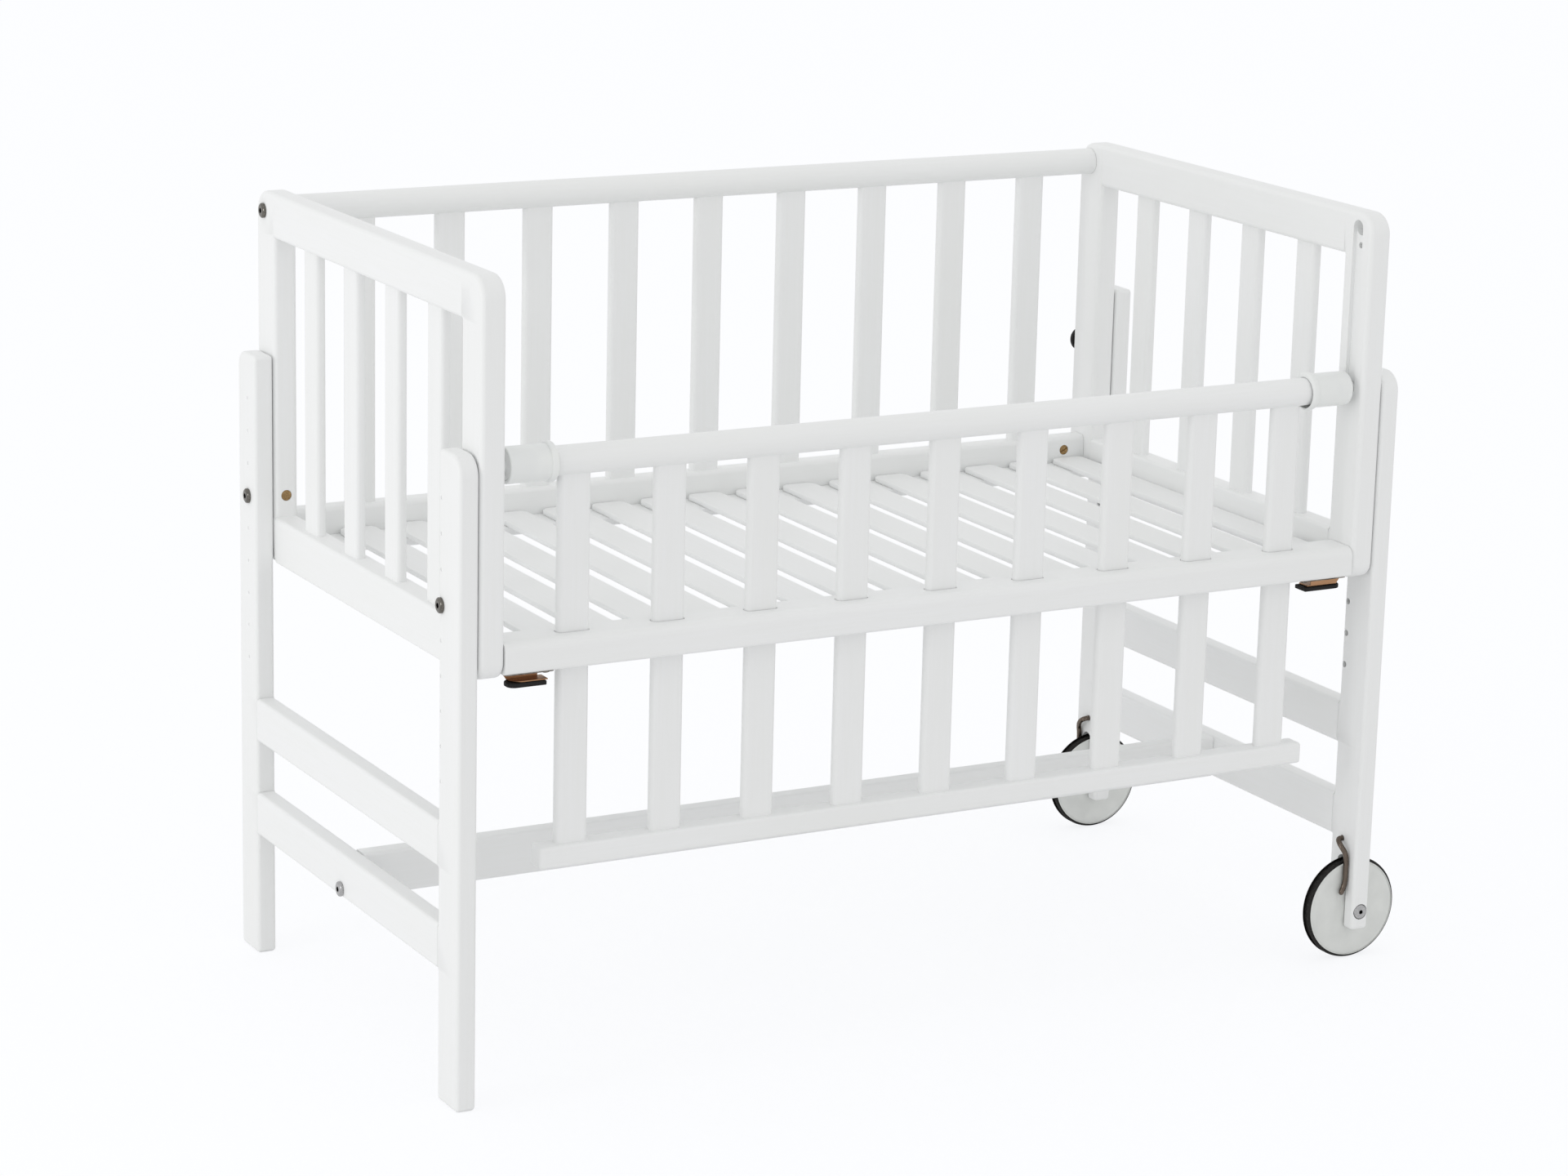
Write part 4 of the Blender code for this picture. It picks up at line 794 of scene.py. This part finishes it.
def make_gate():
    make_gate_rail()
    low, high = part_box("gate_lath")
    lath = add_block("gate_bottom_lath", low, high)
    soften(lath, SOFT_EDGE, 4)
    finish(lath, "lacquer_X", "gate", "gate_lath")
    for number, place in enumerate(GATE_BARS, 1):
        bar_low = (place - BAR_WIDTH / 2, GATE_Y - BAR_THICKNESS / 2, high.z - TENON)
        bar_high = (place + BAR_WIDTH / 2, GATE_Y + BAR_THICKNESS / 2, GATE_Z - BAR_TOP_DROP)
        make_bar(f"gate_upright_{number}", bar_low, bar_high, "gate", f"gate_bar_{number}")
    for side in (LEFT, RIGHT):
        make_sleeve(side)


def make_gate_rail():
    """The round rail: at each end a guide for the post's groove, and a bore for the latch and its spring."""
    end_x = INNER_X - RAIL_END_GAP
    rail = add_rod("gate_round_rail", "X", GATE_AXIS, COT_X - end_x, COT_X + end_x, RAIL_RADIUS, 72)
    for side in (LEFT, RIGHT):
        face = COT_X + side * end_x
        pick(rail, "FACE", lambda f: lies(f, "X", face))
        bpy.ops.mesh.inset(thickness=RAIL_RADIUS - GUIDE_RADIUS)
        bpy.ops.mesh.extrude_region_move(TRANSFORM_OT_translate={"value": (side * GUIDE_LENGTH, 0, 0)})
        leave_edit()
        pin = cross_pin_x()
        guide_tip = face + side * (GUIDE_LENGTH + MM)
        bore_end = face - side * GUIDE_LENGTH
        bore_start = COT_X + side * (pin - SLEEVE_TRAVEL - SPRING_LENGTH)
        drill(rail, "X", GATE_AXIS, bore_start, bore_end, SPRING_BORE_RADIUS)
        pin_bore = LATCH_RADIUS + PIN_CLEARANCE
        drill(rail, "X", GATE_AXIS, bore_end - side * MM, guide_tip, pin_bore)
        slot_half = CROSS_PIN_RADIUS + PIN_CLEARANCE
        slot_reach = (pin - SLEEVE_TRAVEL - slot_half, pin + slot_half)
        slot_ends = sorted(COT_X + side * value for value in slot_reach)
        reach = RAIL_RADIUS + MM
        slot_low = (slot_ends[0], GATE_Y - reach, GATE_Z - slot_half)
        slot_high = (slot_ends[1], GATE_Y + reach, GATE_Z + slot_half)
        cut(rail, add_block("slot", slot_low, slot_high))
    finish(rail, "lacquer_X", "gate", "gate_top_rail")


def cross_pin_x():
    """Distance from the cot's middle to the pin that ties a sleeve to its latch."""
    return INNER_X + LATCH_REACH - LATCH_LENGTH


def make_sleeve(side):
    """The moulded sleeve that a hand draws inwards, its ring, and the two pins that it carries."""
    name = SIDE[side]
    profile = [
        (SLEEVE_BORE, 0),
        *turned_corner(SLEEVE_RING_RADIUS, 0, -SLEEVE_RING_EDGE),
        *turned_corner(SLEEVE_RING_RADIUS, SLEEVE_RING_LENGTH, SLEEVE_RING_RADIUS - SLEEVE_RADIUS)[::-1],
        *turned_corner(SLEEVE_RADIUS, SLEEVE_LENGTH, SLEEVE_EDGE)[::-1],
        (SLEEVE_BORE, SLEEVE_LENGTH),
    ]
    sleeve = turn_piece(f"{name}_release_sleeve", profile, 72, True)
    start = COT_X + side * (INNER_X - RAIL_END_GAP - SLEEVE_LENGTH)
    set_down(sleeve, (start, GATE_Y, GATE_Z), (0, side * QUARTER, 0))
    mouth_end = start + side * SLEEVE_MOUTH_DEPTH
    mouth = (0, GATE_Y - SLEEVE_MOUTH_SHIFT, GATE_Z - SLEEVE_MOUTH_DROP)
    drill(sleeve, "X", mouth, start - side * MM, mouth_end, SLEEVE_MOUTH_RADIUS, 64)
    finish(sleeve, "sleeve", f"sleeve_{name}", f"gate_sleeve_{name}")
    pin = COT_X + side * cross_pin_x()
    wall = (SLEEVE_BORE + SLEEVE_RADIUS) / 2
    place = (pin, GATE_Y, GATE_Z)
    cross = add_rod(f"{name}_cross_pin", "Y", place, GATE_Y - wall, GATE_Y + wall, CROSS_PIN_RADIUS, 24)
    soften(cross, CROSS_PIN_EDGE, 2)
    finish(cross, "zinc", f"sleeve_{name}", f"gate_sleeve_{name}")
    tip = COT_X + side * (cross_pin_x() + LATCH_LENGTH)
    latch = add_rod(f"{name}_latch_pin", "X", GATE_AXIS, pin - side * MM, tip, LATCH_RADIUS, 32)
    soften(latch, LATCH_EDGE, 3)
    finish(latch, "zinc", f"sleeve_{name}", f"gate_sleeve_{name}")


# Leg frames


def make_legs():
    rails = [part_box(f"leg_rail_{level}_left") for level in ("lower", "upper")]
    joints = [(low.z, high.z) for low, high in rails]
    for side in (LEFT, RIGHT):
        for depth in (FRONT, REAR):
            corner = f"{DEPTH[depth]}_{SIDE[side]}"
            node = f"leg_{corner}"
            radii = (LEG_FRONT_RADIUS if depth == FRONT else LEG_REAR_RADIUS, 0)
            leg = make_upright(f"{corner}_leg", node, depth, radii, LEG_EDGE, joints)
            low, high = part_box(node)
            hole_y = middle(f"leg_bolt_{corner}").y
            inner, outer = (high.x, low.x) if side == LEFT else (low.x, high.x)
            for number in range(HOLE_COUNT):
                hole = (0, hole_y, high.z - HOLE_DROP - number * HOLE_PITCH)
                is_bolted = abs(hole[2] - BOLT_Z) < MM
                end = outer + side * MM if is_bolted else outer - side * HOLE_SKIN
                drill(leg, "X", hole, inner - side * MM, end, HOLE_RADIUS, 24)
                if not is_bolted:
                    dimple_end = outer - side * DIMPLE_DEPTH
                    drill(leg, "X", hole, outer + side * MM, dimple_end, DIMPLE_RADIUS, 16)
            if side == RIGHT:
                cut_fork(leg, depth, low, high)
            finish(leg, "lacquer_Z", "root", node)


def cut_fork(leg, depth, low, high):
    """The wheel's slot, the axle's hole with a seat for its head, and the hole that the brake turns in."""
    axle = middle(f"wheel_disc_{DEPTH[depth]}")
    top = axle.z + WHEEL_RADIUS + FORK_TOP_CLEARANCE
    half = FORK_SLOT / 2
    slot = add_block("slot", (low.x - MM, axle.y - half, low.z - MM), (high.x + MM, axle.y + half, top))
    round_edges(slot, lambda e: runs(e, "X") and lies(e, "Z", top), half - TINY, 10)
    cut(leg, slot)
    outer = (low.y if depth == FRONT else high.y) + depth * MM
    inner = (high.y if depth == FRONT else low.y) - depth * MM
    drill(leg, "Y", axle, outer, inner, AXLE_RADIUS + SEAT_CLEARANCE)
    drill(leg, "Y", axle, outer, outer - depth * (MM + SEAT_DEPTH), AXLE_HEAD_RADIUS + SEAT_RING, 48)
    hole_end = low.x + BRAKE_HOLE_DEPTH
    drill(leg, "X", brake_pivot(depth), low.x - MM, hole_end, BRAKE_RADIUS + SEAT_CLEARANCE)


def make_leg_rails():
    for side in (LEFT, RIGHT):
        for level in ("upper", "lower"):
            node = f"leg_rail_{level}_{SIDE[side]}"
            low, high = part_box(node)
            rail = add_block(f"{SIDE[side]}_{level}_leg_rail", low, high)
            round_edges(rail, lambda e: runs(e, "Y"), LEG_EDGE, 4)
            if level == "lower":
                bolt = middle(f"stretcher_bolt_{SIDE[side]}")
                drill(rail, "X", bolt, low.x - MM, high.x + MM, BOLT_HOLE_RADIUS)
            finish(rail, "lacquer_Y", "root", node)
    low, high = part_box("stretcher")
    stretcher = add_block("long_stretcher", low, high)
    round_edges(stretcher, lambda e: runs(e, "X"), LEG_EDGE, 4)
    finish(stretcher, "lacquer_X", "root", "stretcher")


# Bolts, nuts and screws


def make_screw(name, radius, head_radius, head_height, length, socket):
    """A button-headed socket screw about +Z, its head's underside at the origin."""
    crown = turned_corner(head_radius, head_height, head_radius - socket * 1.5, head_height * 0.55, 6)[::-1]
    shank = [(radius * 0.8, -length), (radius, -length + radius * 0.2), (radius, 0), (head_radius, 0)]
    screw = turn_piece(name, shank + crown, 40)
    hexagon = add_rod("socket", "Z", (0, 0, 0), head_height * 0.35, head_height + MM, socket, 6)
    cut(screw, hexagon)
    return screw


def paint_socket_shade(screw, axis, tip, radius, depth):
    """Paints shade into a screw's socket: its walls and floor get a near-black material. The tip is the top
    of its head.
    """
    screw.data.materials.append(FINISH["socket"][0])
    along = AXIS[axis]
    for face in screw.data.polygons:
        away = face.center - tip
        sunk = abs(away[along])
        away[along] = 0
        if away.length < radius * 1.02 and 0.1 * MM < sunk < depth:
            face.material_index = 1


def make_bolts():
    names = [f"leg_bolt_{DEPTH[depth]}_{SIDE[side]}" for side in (LEFT, RIGHT) for depth in (FRONT, REAR)]
    names += [f"{kind}_bolt_{SIDE[side]}" for kind in ("stretcher", "rear_rail") for side in (LEFT, RIGHT)]
    for node in names:
        side = RIGHT if node.endswith("right") else LEFT
        low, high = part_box(node)
        length = high.x - low.x - BOLT_HEAD_HEIGHT
        bolt = make_screw(
            f"{node}_screw", BOLT_RADIUS, BOLT_HEAD_RADIUS, BOLT_HEAD_HEIGHT, length, BOLT_SOCKET
        )
        seat = (high.x if side == RIGHT else low.x) - side * BOLT_HEAD_HEIGHT
        place = middle(node)
        set_down(bolt, (seat, place.y, place.z), (0, side * QUARTER, 0))
        finish(bolt, "zinc" if "stretcher" in node else "bolt", "root", node)
        tip = Vector((seat + side * BOLT_HEAD_HEIGHT, place.y, place.z))
        paint_socket_shade(bolt, "X", tip, BOLT_SOCKET, BOLT_HEAD_HEIGHT)
    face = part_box("post_rear_left")[0].y
    make_nut("left_post_nut", middle("post_rear_left").x, face, BOLT_Z + NUT_RISE, POST_NUT_TURN)
    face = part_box("rear_grille")[0].y
    make_nut("rear_rail_nut", COT_X + RAIL_NUT_REACH, face, RAIL_NUT_HEIGHT, RAIL_NUT_TURN)


def make_nut(name, x, y, z, turn):
    """A cross-bored barrel nut, flush in its seat, with a screwdriver slot across its end."""
    nut = add_rod(name, "Y", (0, 0, 0), 0, NUT_DEPTH - 2 * MM, NUT_RADIUS, 40)
    soften(nut, NUT_EDGE, 2)
    slot = add_block("slot", (-NUT_RADIUS - MM, -MM, -NUT_SLOT / 2), (NUT_RADIUS + MM, MM, NUT_SLOT / 2))
    cut(nut, slot)
    set_down(nut, (x, y + NUT_SINK, z), (0, turn, 0))
    finish(nut, "nut", "root")


# Wheels and brakes


def make_wheels():
    for depth in (FRONT, REAR):
        name = DEPTH[depth]
        hub = middle(f"wheel_disc_{name}")
        turn = (-depth * QUARTER, 0, 0)
        disc = turn_piece(f"{name}_wheel_disc", disc_profile(), 96, True)
        set_down(disc, hub, turn)
        finish(disc, "wheel", f"wheel_{name}", f"wheel_disc_{name}")
        tyre = turn_piece(f"{name}_tyre", tyre_profile(), 96, True)
        set_down(tyre, hub, turn)
        finish(tyre, "tyre", f"wheel_{name}", f"tyre_{name}")
        node = f"axle_screw_{name}"
        low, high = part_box(node)
        length = high.y - low.y - AXLE_HEAD_HEIGHT
        screw = make_screw(
            f"{name}_axle", AXLE_RADIUS, AXLE_HEAD_RADIUS, AXLE_HEAD_HEIGHT, length, AXLE_SOCKET
        )
        seat = (high.y if depth == REAR else low.y) - depth * AXLE_HEAD_HEIGHT
        set_down(screw, (hub.x, seat, hub.z), turn)
        finish(screw, "zinc", "root", node)
        tip = Vector((hub.x, seat + depth * AXLE_HEAD_HEIGHT, hub.z))
        paint_socket_shade(screw, "Y", tip, AXLE_SOCKET, AXLE_HEAD_HEIGHT)


def disc_profile():
    """Closed half section of the disc: hub, shallow dish, rim and flanges, and the groove for the tyre.

    Known fault: the [::-1] puts the rounded edge in backwards, so the faces cross in the outer 1 mm.
    """
    half = WHEEL_WIDTH / 2
    bore = AXLE_RADIUS + SEAT_CLEARANCE
    groove = half - FLANGE_THICKNESS
    edge = 0.9 * MM
    hub = 11 * MM
    dish = 0.5 * MM
    rim = 4 * MM
    upper = [
        (bore, half),
        (hub, half),
        (hub + 1.5 * MM, half - dish),
        (FLANGE_RADIUS - rim - 2.5 * MM, half - dish),
        (FLANGE_RADIUS - rim, half),
        *turned_corner(FLANGE_RADIUS, half, edge)[::-1],
        (FLANGE_RADIUS, groove),
        (RIM_RADIUS, groove),
    ]
    return upper + [(radius, -height) for radius, height in reversed(upper)]


def tyre_profile():
    """Closed half section of the tyre.

    Known fault: the [::-1] puts the shoulder in backwards, so the tread lies 2 mm low between two thin fins.
    """
    half = WHEEL_WIDTH / 2 - FLANGE_THICKNESS - 0.1 * MM
    inner = RIM_RADIUS + 0.1 * MM
    crown = WHEEL_RADIUS - FLANGE_RADIUS
    outer = [(FLANGE_RADIUS - 0.3 * MM, half), *turned_corner(WHEEL_RADIUS, half, crown * 0.8)[::-1]]
    mirrored = [(radius, -height) for radius, height in reversed(outer)]
    return [(inner, -half), (inner, half)] + outer + mirrored


def brake_pivot(depth):
    low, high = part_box(f"leg_{DEPTH[depth]}_right")
    return Vector((low.x, (low.y + high.y) / 2 - depth * BRAKE_HOLE_OFFSET, BRAKE_HOLE_HEIGHT))


# The bent wire's middle line, in mm from where it leaves the leg: away from it, outwards along Y, and down
BRAKE_BENDS = (
    (-12.0, 0.0, 0.0),
    (-4.0, 0.0, 0.0),
    (0.6, 0.0, 0.0),
    (4.2, 0.6, 0.4),
    (6.0, 3.8, 2.5),
    (5.7, 8.0, 6.3),
    (4.2, 11.1, 10.9),
    (3.1, 11.8, 17.5),
    (2.9, 11.8, 28.0),
    (2.9, 11.8, 38.0),
    (3.6, 11.8, 42.0),
    (6.1, 11.8, 48.3),
    (6.8, 11.8, 50.1),
    (7.2, 11.8, 51.1),
)
BRAKE_TIP = (0.35, 0.85, 1.0)  # the wire's thickness at its last bends, from its rounded tip back


def make_brakes():
    """Each brake is a drawn wire, bent cold, with its lower end rounded over."""
    for depth in (FRONT, REAR):
        name = DEPTH[depth]
        pivot = brake_pivot(depth)
        bpy.ops.object.select_all(action="DESELECT")
        bpy.ops.curve.primitive_bezier_curve_add()
        wire = bpy.context.object
        curve = wire.data
        curve.dimensions = "3D"
        curve.bevel_depth = BRAKE_RADIUS
        curve.bevel_resolution = 6
        curve.resolution_u = 8
        curve.use_fill_caps = True
        spline = curve.splines[0]
        spline.bezier_points.add(len(BRAKE_BENDS) - len(spline.bezier_points))
        for point, (away, out, down) in zip(spline.bezier_points, BRAKE_BENDS):
            point.co = pivot + Vector((-away, depth * out, -down)) * MM
            point.handle_left_type = point.handle_right_type = "AUTO"
        for point, share in zip(reversed(spline.bezier_points), BRAKE_TIP):
            point.radius = share
        wire.location = (0, 0, 0)
        select_only(wire)
        bpy.ops.object.convert(target="MESH")
        settle(wire, f"{name}_brake_lever")
        pick(wire, "VERT", lambda point: True)
        bpy.ops.mesh.remove_doubles(threshold=TINY)
        bpy.ops.mesh.normals_make_consistent(inside=False)
        leave_edit()
        finish(wire, "wire", f"brake_{name}", f"brake_wire_{name}")


# Brackets and bumpers


def make_brackets():
    """Two like brackets, the right one turned half round, so that its strip opens to the rear.

    A plate under the front rail, a folded strip that turns on its rivet, and a rubber pad under the strip.
    """
    for side in (LEFT, RIGHT):
        name = SIDE[side]
        low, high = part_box(f"bracket_plate_{name}")
        arm_low, arm_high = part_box(f"bracket_arm_{name}")
        pivot_y = (low.y + high.y) / 2
        plate_low = arm_high.z + PLATE_GAP
        spread = (-PLATE_HALF_WIDTH, PLATE_HALF_WIDTH)
        height = (plate_low, high.z)
        plate = add_turned_block(f"{name}_bracket_plate", side, pivot_y, PLATE_REACH, spread, height)
        round_edges(plate, lambda e: runs(e, "Z"), PLATE_CORNER, 5)
        soften(plate, FOLD_EDGE, 2)
        finish(plate, "plate", "root", f"bracket_plate_{name}")
        head = arm_high.z - STRIP_THICKNESS - RIVET_GAP
        profile = [
            (RIVET_RADIUS, plate_low - PLATE_GAP),
            (RIVET_RADIUS, head),
            (RIVET_HEAD_RADIUS, head),
            (RIVET_HEAD_RADIUS - 0.3 * MM, head - 0.9 * MM),
            (RIVET_RADIUS, head - 1.4 * MM),
        ]
        rivet = turn_piece(f"{name}_bracket_rivet", profile, 32)
        pivot_x = COT_X + side * PIVOT_REACH
        set_down(rivet, (pivot_x, pivot_y, 0), (0, 0, 0))
        finish(rivet, "plate", "root", f"bracket_plate_{name}")
        make_strip(side, pivot_x, pivot_y, arm_high.z)
        make_pad(side, pivot_y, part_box(f"bracket_pad_{name}")[0].z, arm_high.z - STRIP_DROP - PAD_GAP)


def add_turned_block(name, side, pivot_y, reach, spread, height):
    """A block given by its reach from the cot's middle and its spread towards the strip's open side."""
    low_x, high_x = sorted(COT_X + side * value for value in reach)
    low_y, high_y = sorted(pivot_y + side * value for value in spread)
    return add_block(name, (low_x, low_y, height[0]), (high_x, high_y, height[1]))


def make_strip(side, pivot_x, pivot_y, top):
    """A channel folded from strip: a top leaf on the rivet, a web, and a lower leaf with sloping ends."""
    name = SIDE[side]
    bottom = top - STRIP_DROP
    inside = (bottom + STRIP_THICKNESS, top - STRIP_THICKNESS)
    height = (bottom, top)
    strip = add_turned_block(f"{name}_bracket_strip", side, pivot_y, STRIP_REACH, STRIP_SPREAD, height)
    outer_end = COT_X + side * STRIP_REACH[1]
    pick(strip, "EDGE", lambda e: lies(e, "X", outer_end) and lies(e, "Z", bottom))
    bpy.ops.transform.translate(value=(-side * STRIP_END_SLOPE, 0, 0))
    leave_edit()
    open_y = pivot_y + side * STRIP_SPREAD[1]
    slope_end = STRIP_REACH[1] - STRIP_END_SLOPE - TINY

    def is_open_corner(e):
        return lies(e, "Y", open_y) and all(side * (point.co.x - COT_X) > slope_end for point in e.verts)

    round_edges(strip, is_open_corner, STRIP_CORNER, 8)
    past = 10 * MM
    everywhere = (STRIP_REACH[0] - past, STRIP_REACH[1] + past)
    open_side = (STRIP_SPREAD[0] + STRIP_THICKNESS, STRIP_SPREAD[1] + past)
    across = (STRIP_SPREAD[0] - past, STRIP_SPREAD[1] + past)
    cut(strip, add_turned_block("inside", side, pivot_y, everywhere, open_side, inside))
    cut(strip, add_turned_block("web_end", side, pivot_y, (everywhere[0], STRIP_WEB_START), across, inside))
    below = (bottom - past, inside[0] + MM)
    cut(strip, add_turned_block("leaf_end", side, pivot_y, (everywhere[0], STRIP_LEAF_START), across, below))
    above = (inside[1] - MM, top + MM)
    top_edge = (STRIP_TOP_EDGE, STRIP_SPREAD[1] + past)
    cut(strip, add_turned_block("top_edge", side, pivot_y, everywhere, top_edge, above))
    drill(strip, "Z", (pivot_x, pivot_y, 0), inside[1] - MM, top + MM, RIVET_HOLE)
    soften(strip, FOLD_EDGE, 2)
    finish(strip, "strip", f"bracket_{name}", f"bracket_arm_{name}")


def make_pad(side, pivot_y, bottom, top):
    name = SIDE[side]
    pad = add_turned_block(f"{name}_rubber_pad", side, pivot_y, PAD_REACH[side], PAD_SPREAD, (bottom, top))
    outer_end = COT_X + side * PAD_REACH[side][1]
    round_edges(pad, lambda e: runs(e, "Z") and lies(e, "X", outer_end), PAD_ROUND, 10)
    soften(pad, PAD_EDGE, 3)
    finish(pad, "rubber", f"bracket_{name}", f"bracket_pad_{name}")


def make_bumpers():
    for side in (LEFT, RIGHT):
        node = f"bumper_{SIDE[side]}"
        low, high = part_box(node)
        radius, height = (high.x - low.x) / 2, high.y - low.y
        foot = [(radius * 0.96, 0), (radius, 0.4 * MM)]
        dome = turned_corner(radius, height, height / 2, steps=6)[::-1]
        bumper = turn_piece(f"{SIDE[side]}_wall_bumper", foot + dome, 48)
        place = middle(node)
        set_down(bumper, (place.x, low.y, place.z), (-QUARTER, 0, 0))
        finish(bumper, "rubber", "root", node)


def make_springs():
    """The two latch springs, wound from drawn wire at one fixed length."""
    for side in (LEFT, RIGHT):
        name = SIDE[side]
        node = f"sleeve_spring_{name}"
        low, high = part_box(node)
        length = high.x - low.x
        coil_radius = (high.z - low.z) / 2 - SPRING_WIRE_RADIUS
        bpy.ops.object.select_all(action="DESELECT")
        bpy.ops.mesh.primitive_circle_add(
            vertices=12, radius=SPRING_WIRE_RADIUS, location=(coil_radius, 0, 0), rotation=TURN["Y"]
        )
        spring = settle(bpy.context.object, f"{name}_latch_spring")
        coils = spring.modifiers.new("coils", "SCREW")
        coils.screw_offset = (length - 2 * SPRING_WIRE_RADIUS) / SPRING_TURNS
        coils.iterations = SPRING_TURNS
        coils.steps = coils.render_steps = 24
        apply_modifier(spring, coils)
        pick(spring, "VERT", lambda point: True)
        bpy.ops.mesh.remove_doubles(threshold=TINY)
        bpy.ops.mesh.fill_holes(sides=0)
        bpy.ops.mesh.select_all(action="SELECT")
        bpy.ops.mesh.normals_make_consistent(inside=False)
        leave_edit()
        place = middle(node)
        set_down(spring, (low.x + SPRING_WIRE_RADIUS, place.y, place.z), (0, QUARTER, 0))
        finish(spring, "zinc", "gate", node)
        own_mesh(spring)


# Studio

BACKGROUND = "#FCFDFF"
PAPER = "#F4F4F5"
FLOOR_SPAN = 60.0
AMBIENT = 0.87
SHADOW_SHARE = 0.2  # share of the floor's own light in what the camera sees of it
FLOOR_GLOW = 1.055
SOFTBOX_PLACE = Vector((-4.2, -0.4, 1.1))
SOFTBOX_SIZE = 1.0
SOFTBOX_POWER = 21.5


def seen_directly(tree):
    """1 where the camera, a reflection or a clear material looks, 0 for light from the surroundings."""
    rays = add_node(tree, "ShaderNodeLightPath").outputs
    pair = {0: rays["Is Camera Ray"], 1: rays["Is Glossy Ray"]}
    first = add_node(tree, "ShaderNodeMath", pair, operation="ADD").outputs["Value"]
    pair = {0: first, 1: rays["Is Transmission Ray"]}
    return add_node(tree, "ShaderNodeMath", pair, operation="ADD", use_clamp=True).outputs["Value"]


def make_world():
    world = bpy.data.worlds.new("studio")
    bpy.context.scene.world = world
    world.use_nodes = True
    tree = world.node_tree
    tree.nodes.clear()
    seen = add_node(tree, "ShaderNodeBackground", {"Color": colour(BACKGROUND), "Strength": 1.0})
    lit = add_node(tree, "ShaderNodeBackground", {"Color": colour("#FFFFFF"), "Strength": AMBIENT})
    sources = {0: seen_directly(tree), 1: lit.outputs[0], 2: seen.outputs[0]}
    mixed = add_node(tree, "ShaderNodeMixShader", sources)
    add_node(tree, "ShaderNodeOutputWorld", {"Surface": mixed.outputs[0]})


def make_floor():
    bpy.ops.object.select_all(action="DESELECT")
    bpy.ops.mesh.primitive_plane_add(size=FLOOR_SPAN)
    floor = bpy.context.object
    floor.name = "studio_floor"
    material = bpy.data.materials.new("studio_floor_paper")
    material.use_nodes = True
    tree = material.node_tree
    tree.nodes.clear()
    paper = add_node(tree, "ShaderNodeBsdfDiffuse", {"Color": colour(PAPER)})
    glow = add_node(tree, "ShaderNodeEmission", {"Color": colour(BACKGROUND), "Strength": FLOOR_GLOW})
    factors = {0: seen_directly(tree), 1: 1 - SHADOW_SHARE}
    share = add_node(tree, "ShaderNodeMath", factors, operation="MULTIPLY").outputs["Value"]
    mixed = add_node(tree, "ShaderNodeMixShader", {0: share, 1: paper.outputs[0], 2: glow.outputs[0]})
    add_node(tree, "ShaderNodeOutputMaterial", {"Surface": mixed.outputs[0]})
    floor.data.materials.append(material)


def make_lights():
    """One low softbox off the cot's left end, so that the light falls away towards the wheels."""
    lamp = bpy.data.lights.new("softbox", "AREA")
    lamp.size = SOFTBOX_SIZE
    lamp.energy = SOFTBOX_POWER
    light = bpy.data.objects.new("softbox", lamp)
    light.location = SOFTBOX_PLACE
    away = SOFTBOX_PLACE - (cad_low + cad_high) / 2
    light.rotation_euler = away.to_track_quat("Z", "Y").to_euler()
    light.visible_camera = False
    bpy.context.scene.collection.objects.link(light)


def make_camera():
    data = bpy.data.cameras.new("camera")
    data.sensor_fit = "HORIZONTAL"
    data.sensor_width = 36
    data.lens = CAMERA_LENS
    data.clip_end = FLOOR_SPAN * 2
    camera = bpy.data.objects.new("camera", data)
    azimuth, level = CAMERA_AZIMUTH, math.cos(CAMERA_ELEVATION)
    back = Vector((math.sin(azimuth) * level, -math.cos(azimuth) * level, math.sin(CAMERA_ELEVATION)))
    right = Vector((math.cos(azimuth), math.sin(azimuth), 0))
    up = back.cross(right)
    rolled_right = right * math.cos(CAMERA_ROLL) + up * math.sin(CAMERA_ROLL)
    rolled_up = up * math.cos(CAMERA_ROLL) - right * math.sin(CAMERA_ROLL)
    turn = Matrix((rolled_right, rolled_up, back)).transposed().to_4x4()
    camera.matrix_world = Matrix.Translation(CAMERA_PLACE) @ turn
    bpy.context.scene.collection.objects.link(camera)
    bpy.context.scene.camera = camera


make_camera()
make_finishes()
make_posts()
make_end_panels()
make_rear_side()
make_front_rail()
make_base()
make_gate()
make_legs()
make_leg_rails()
make_bolts()
make_wheels()
make_brakes()
make_brackets()
make_bumpers()
make_springs()
make_world()
make_floor()
make_lights()
bpy.context.scene.view_settings.view_transform = "Standard"
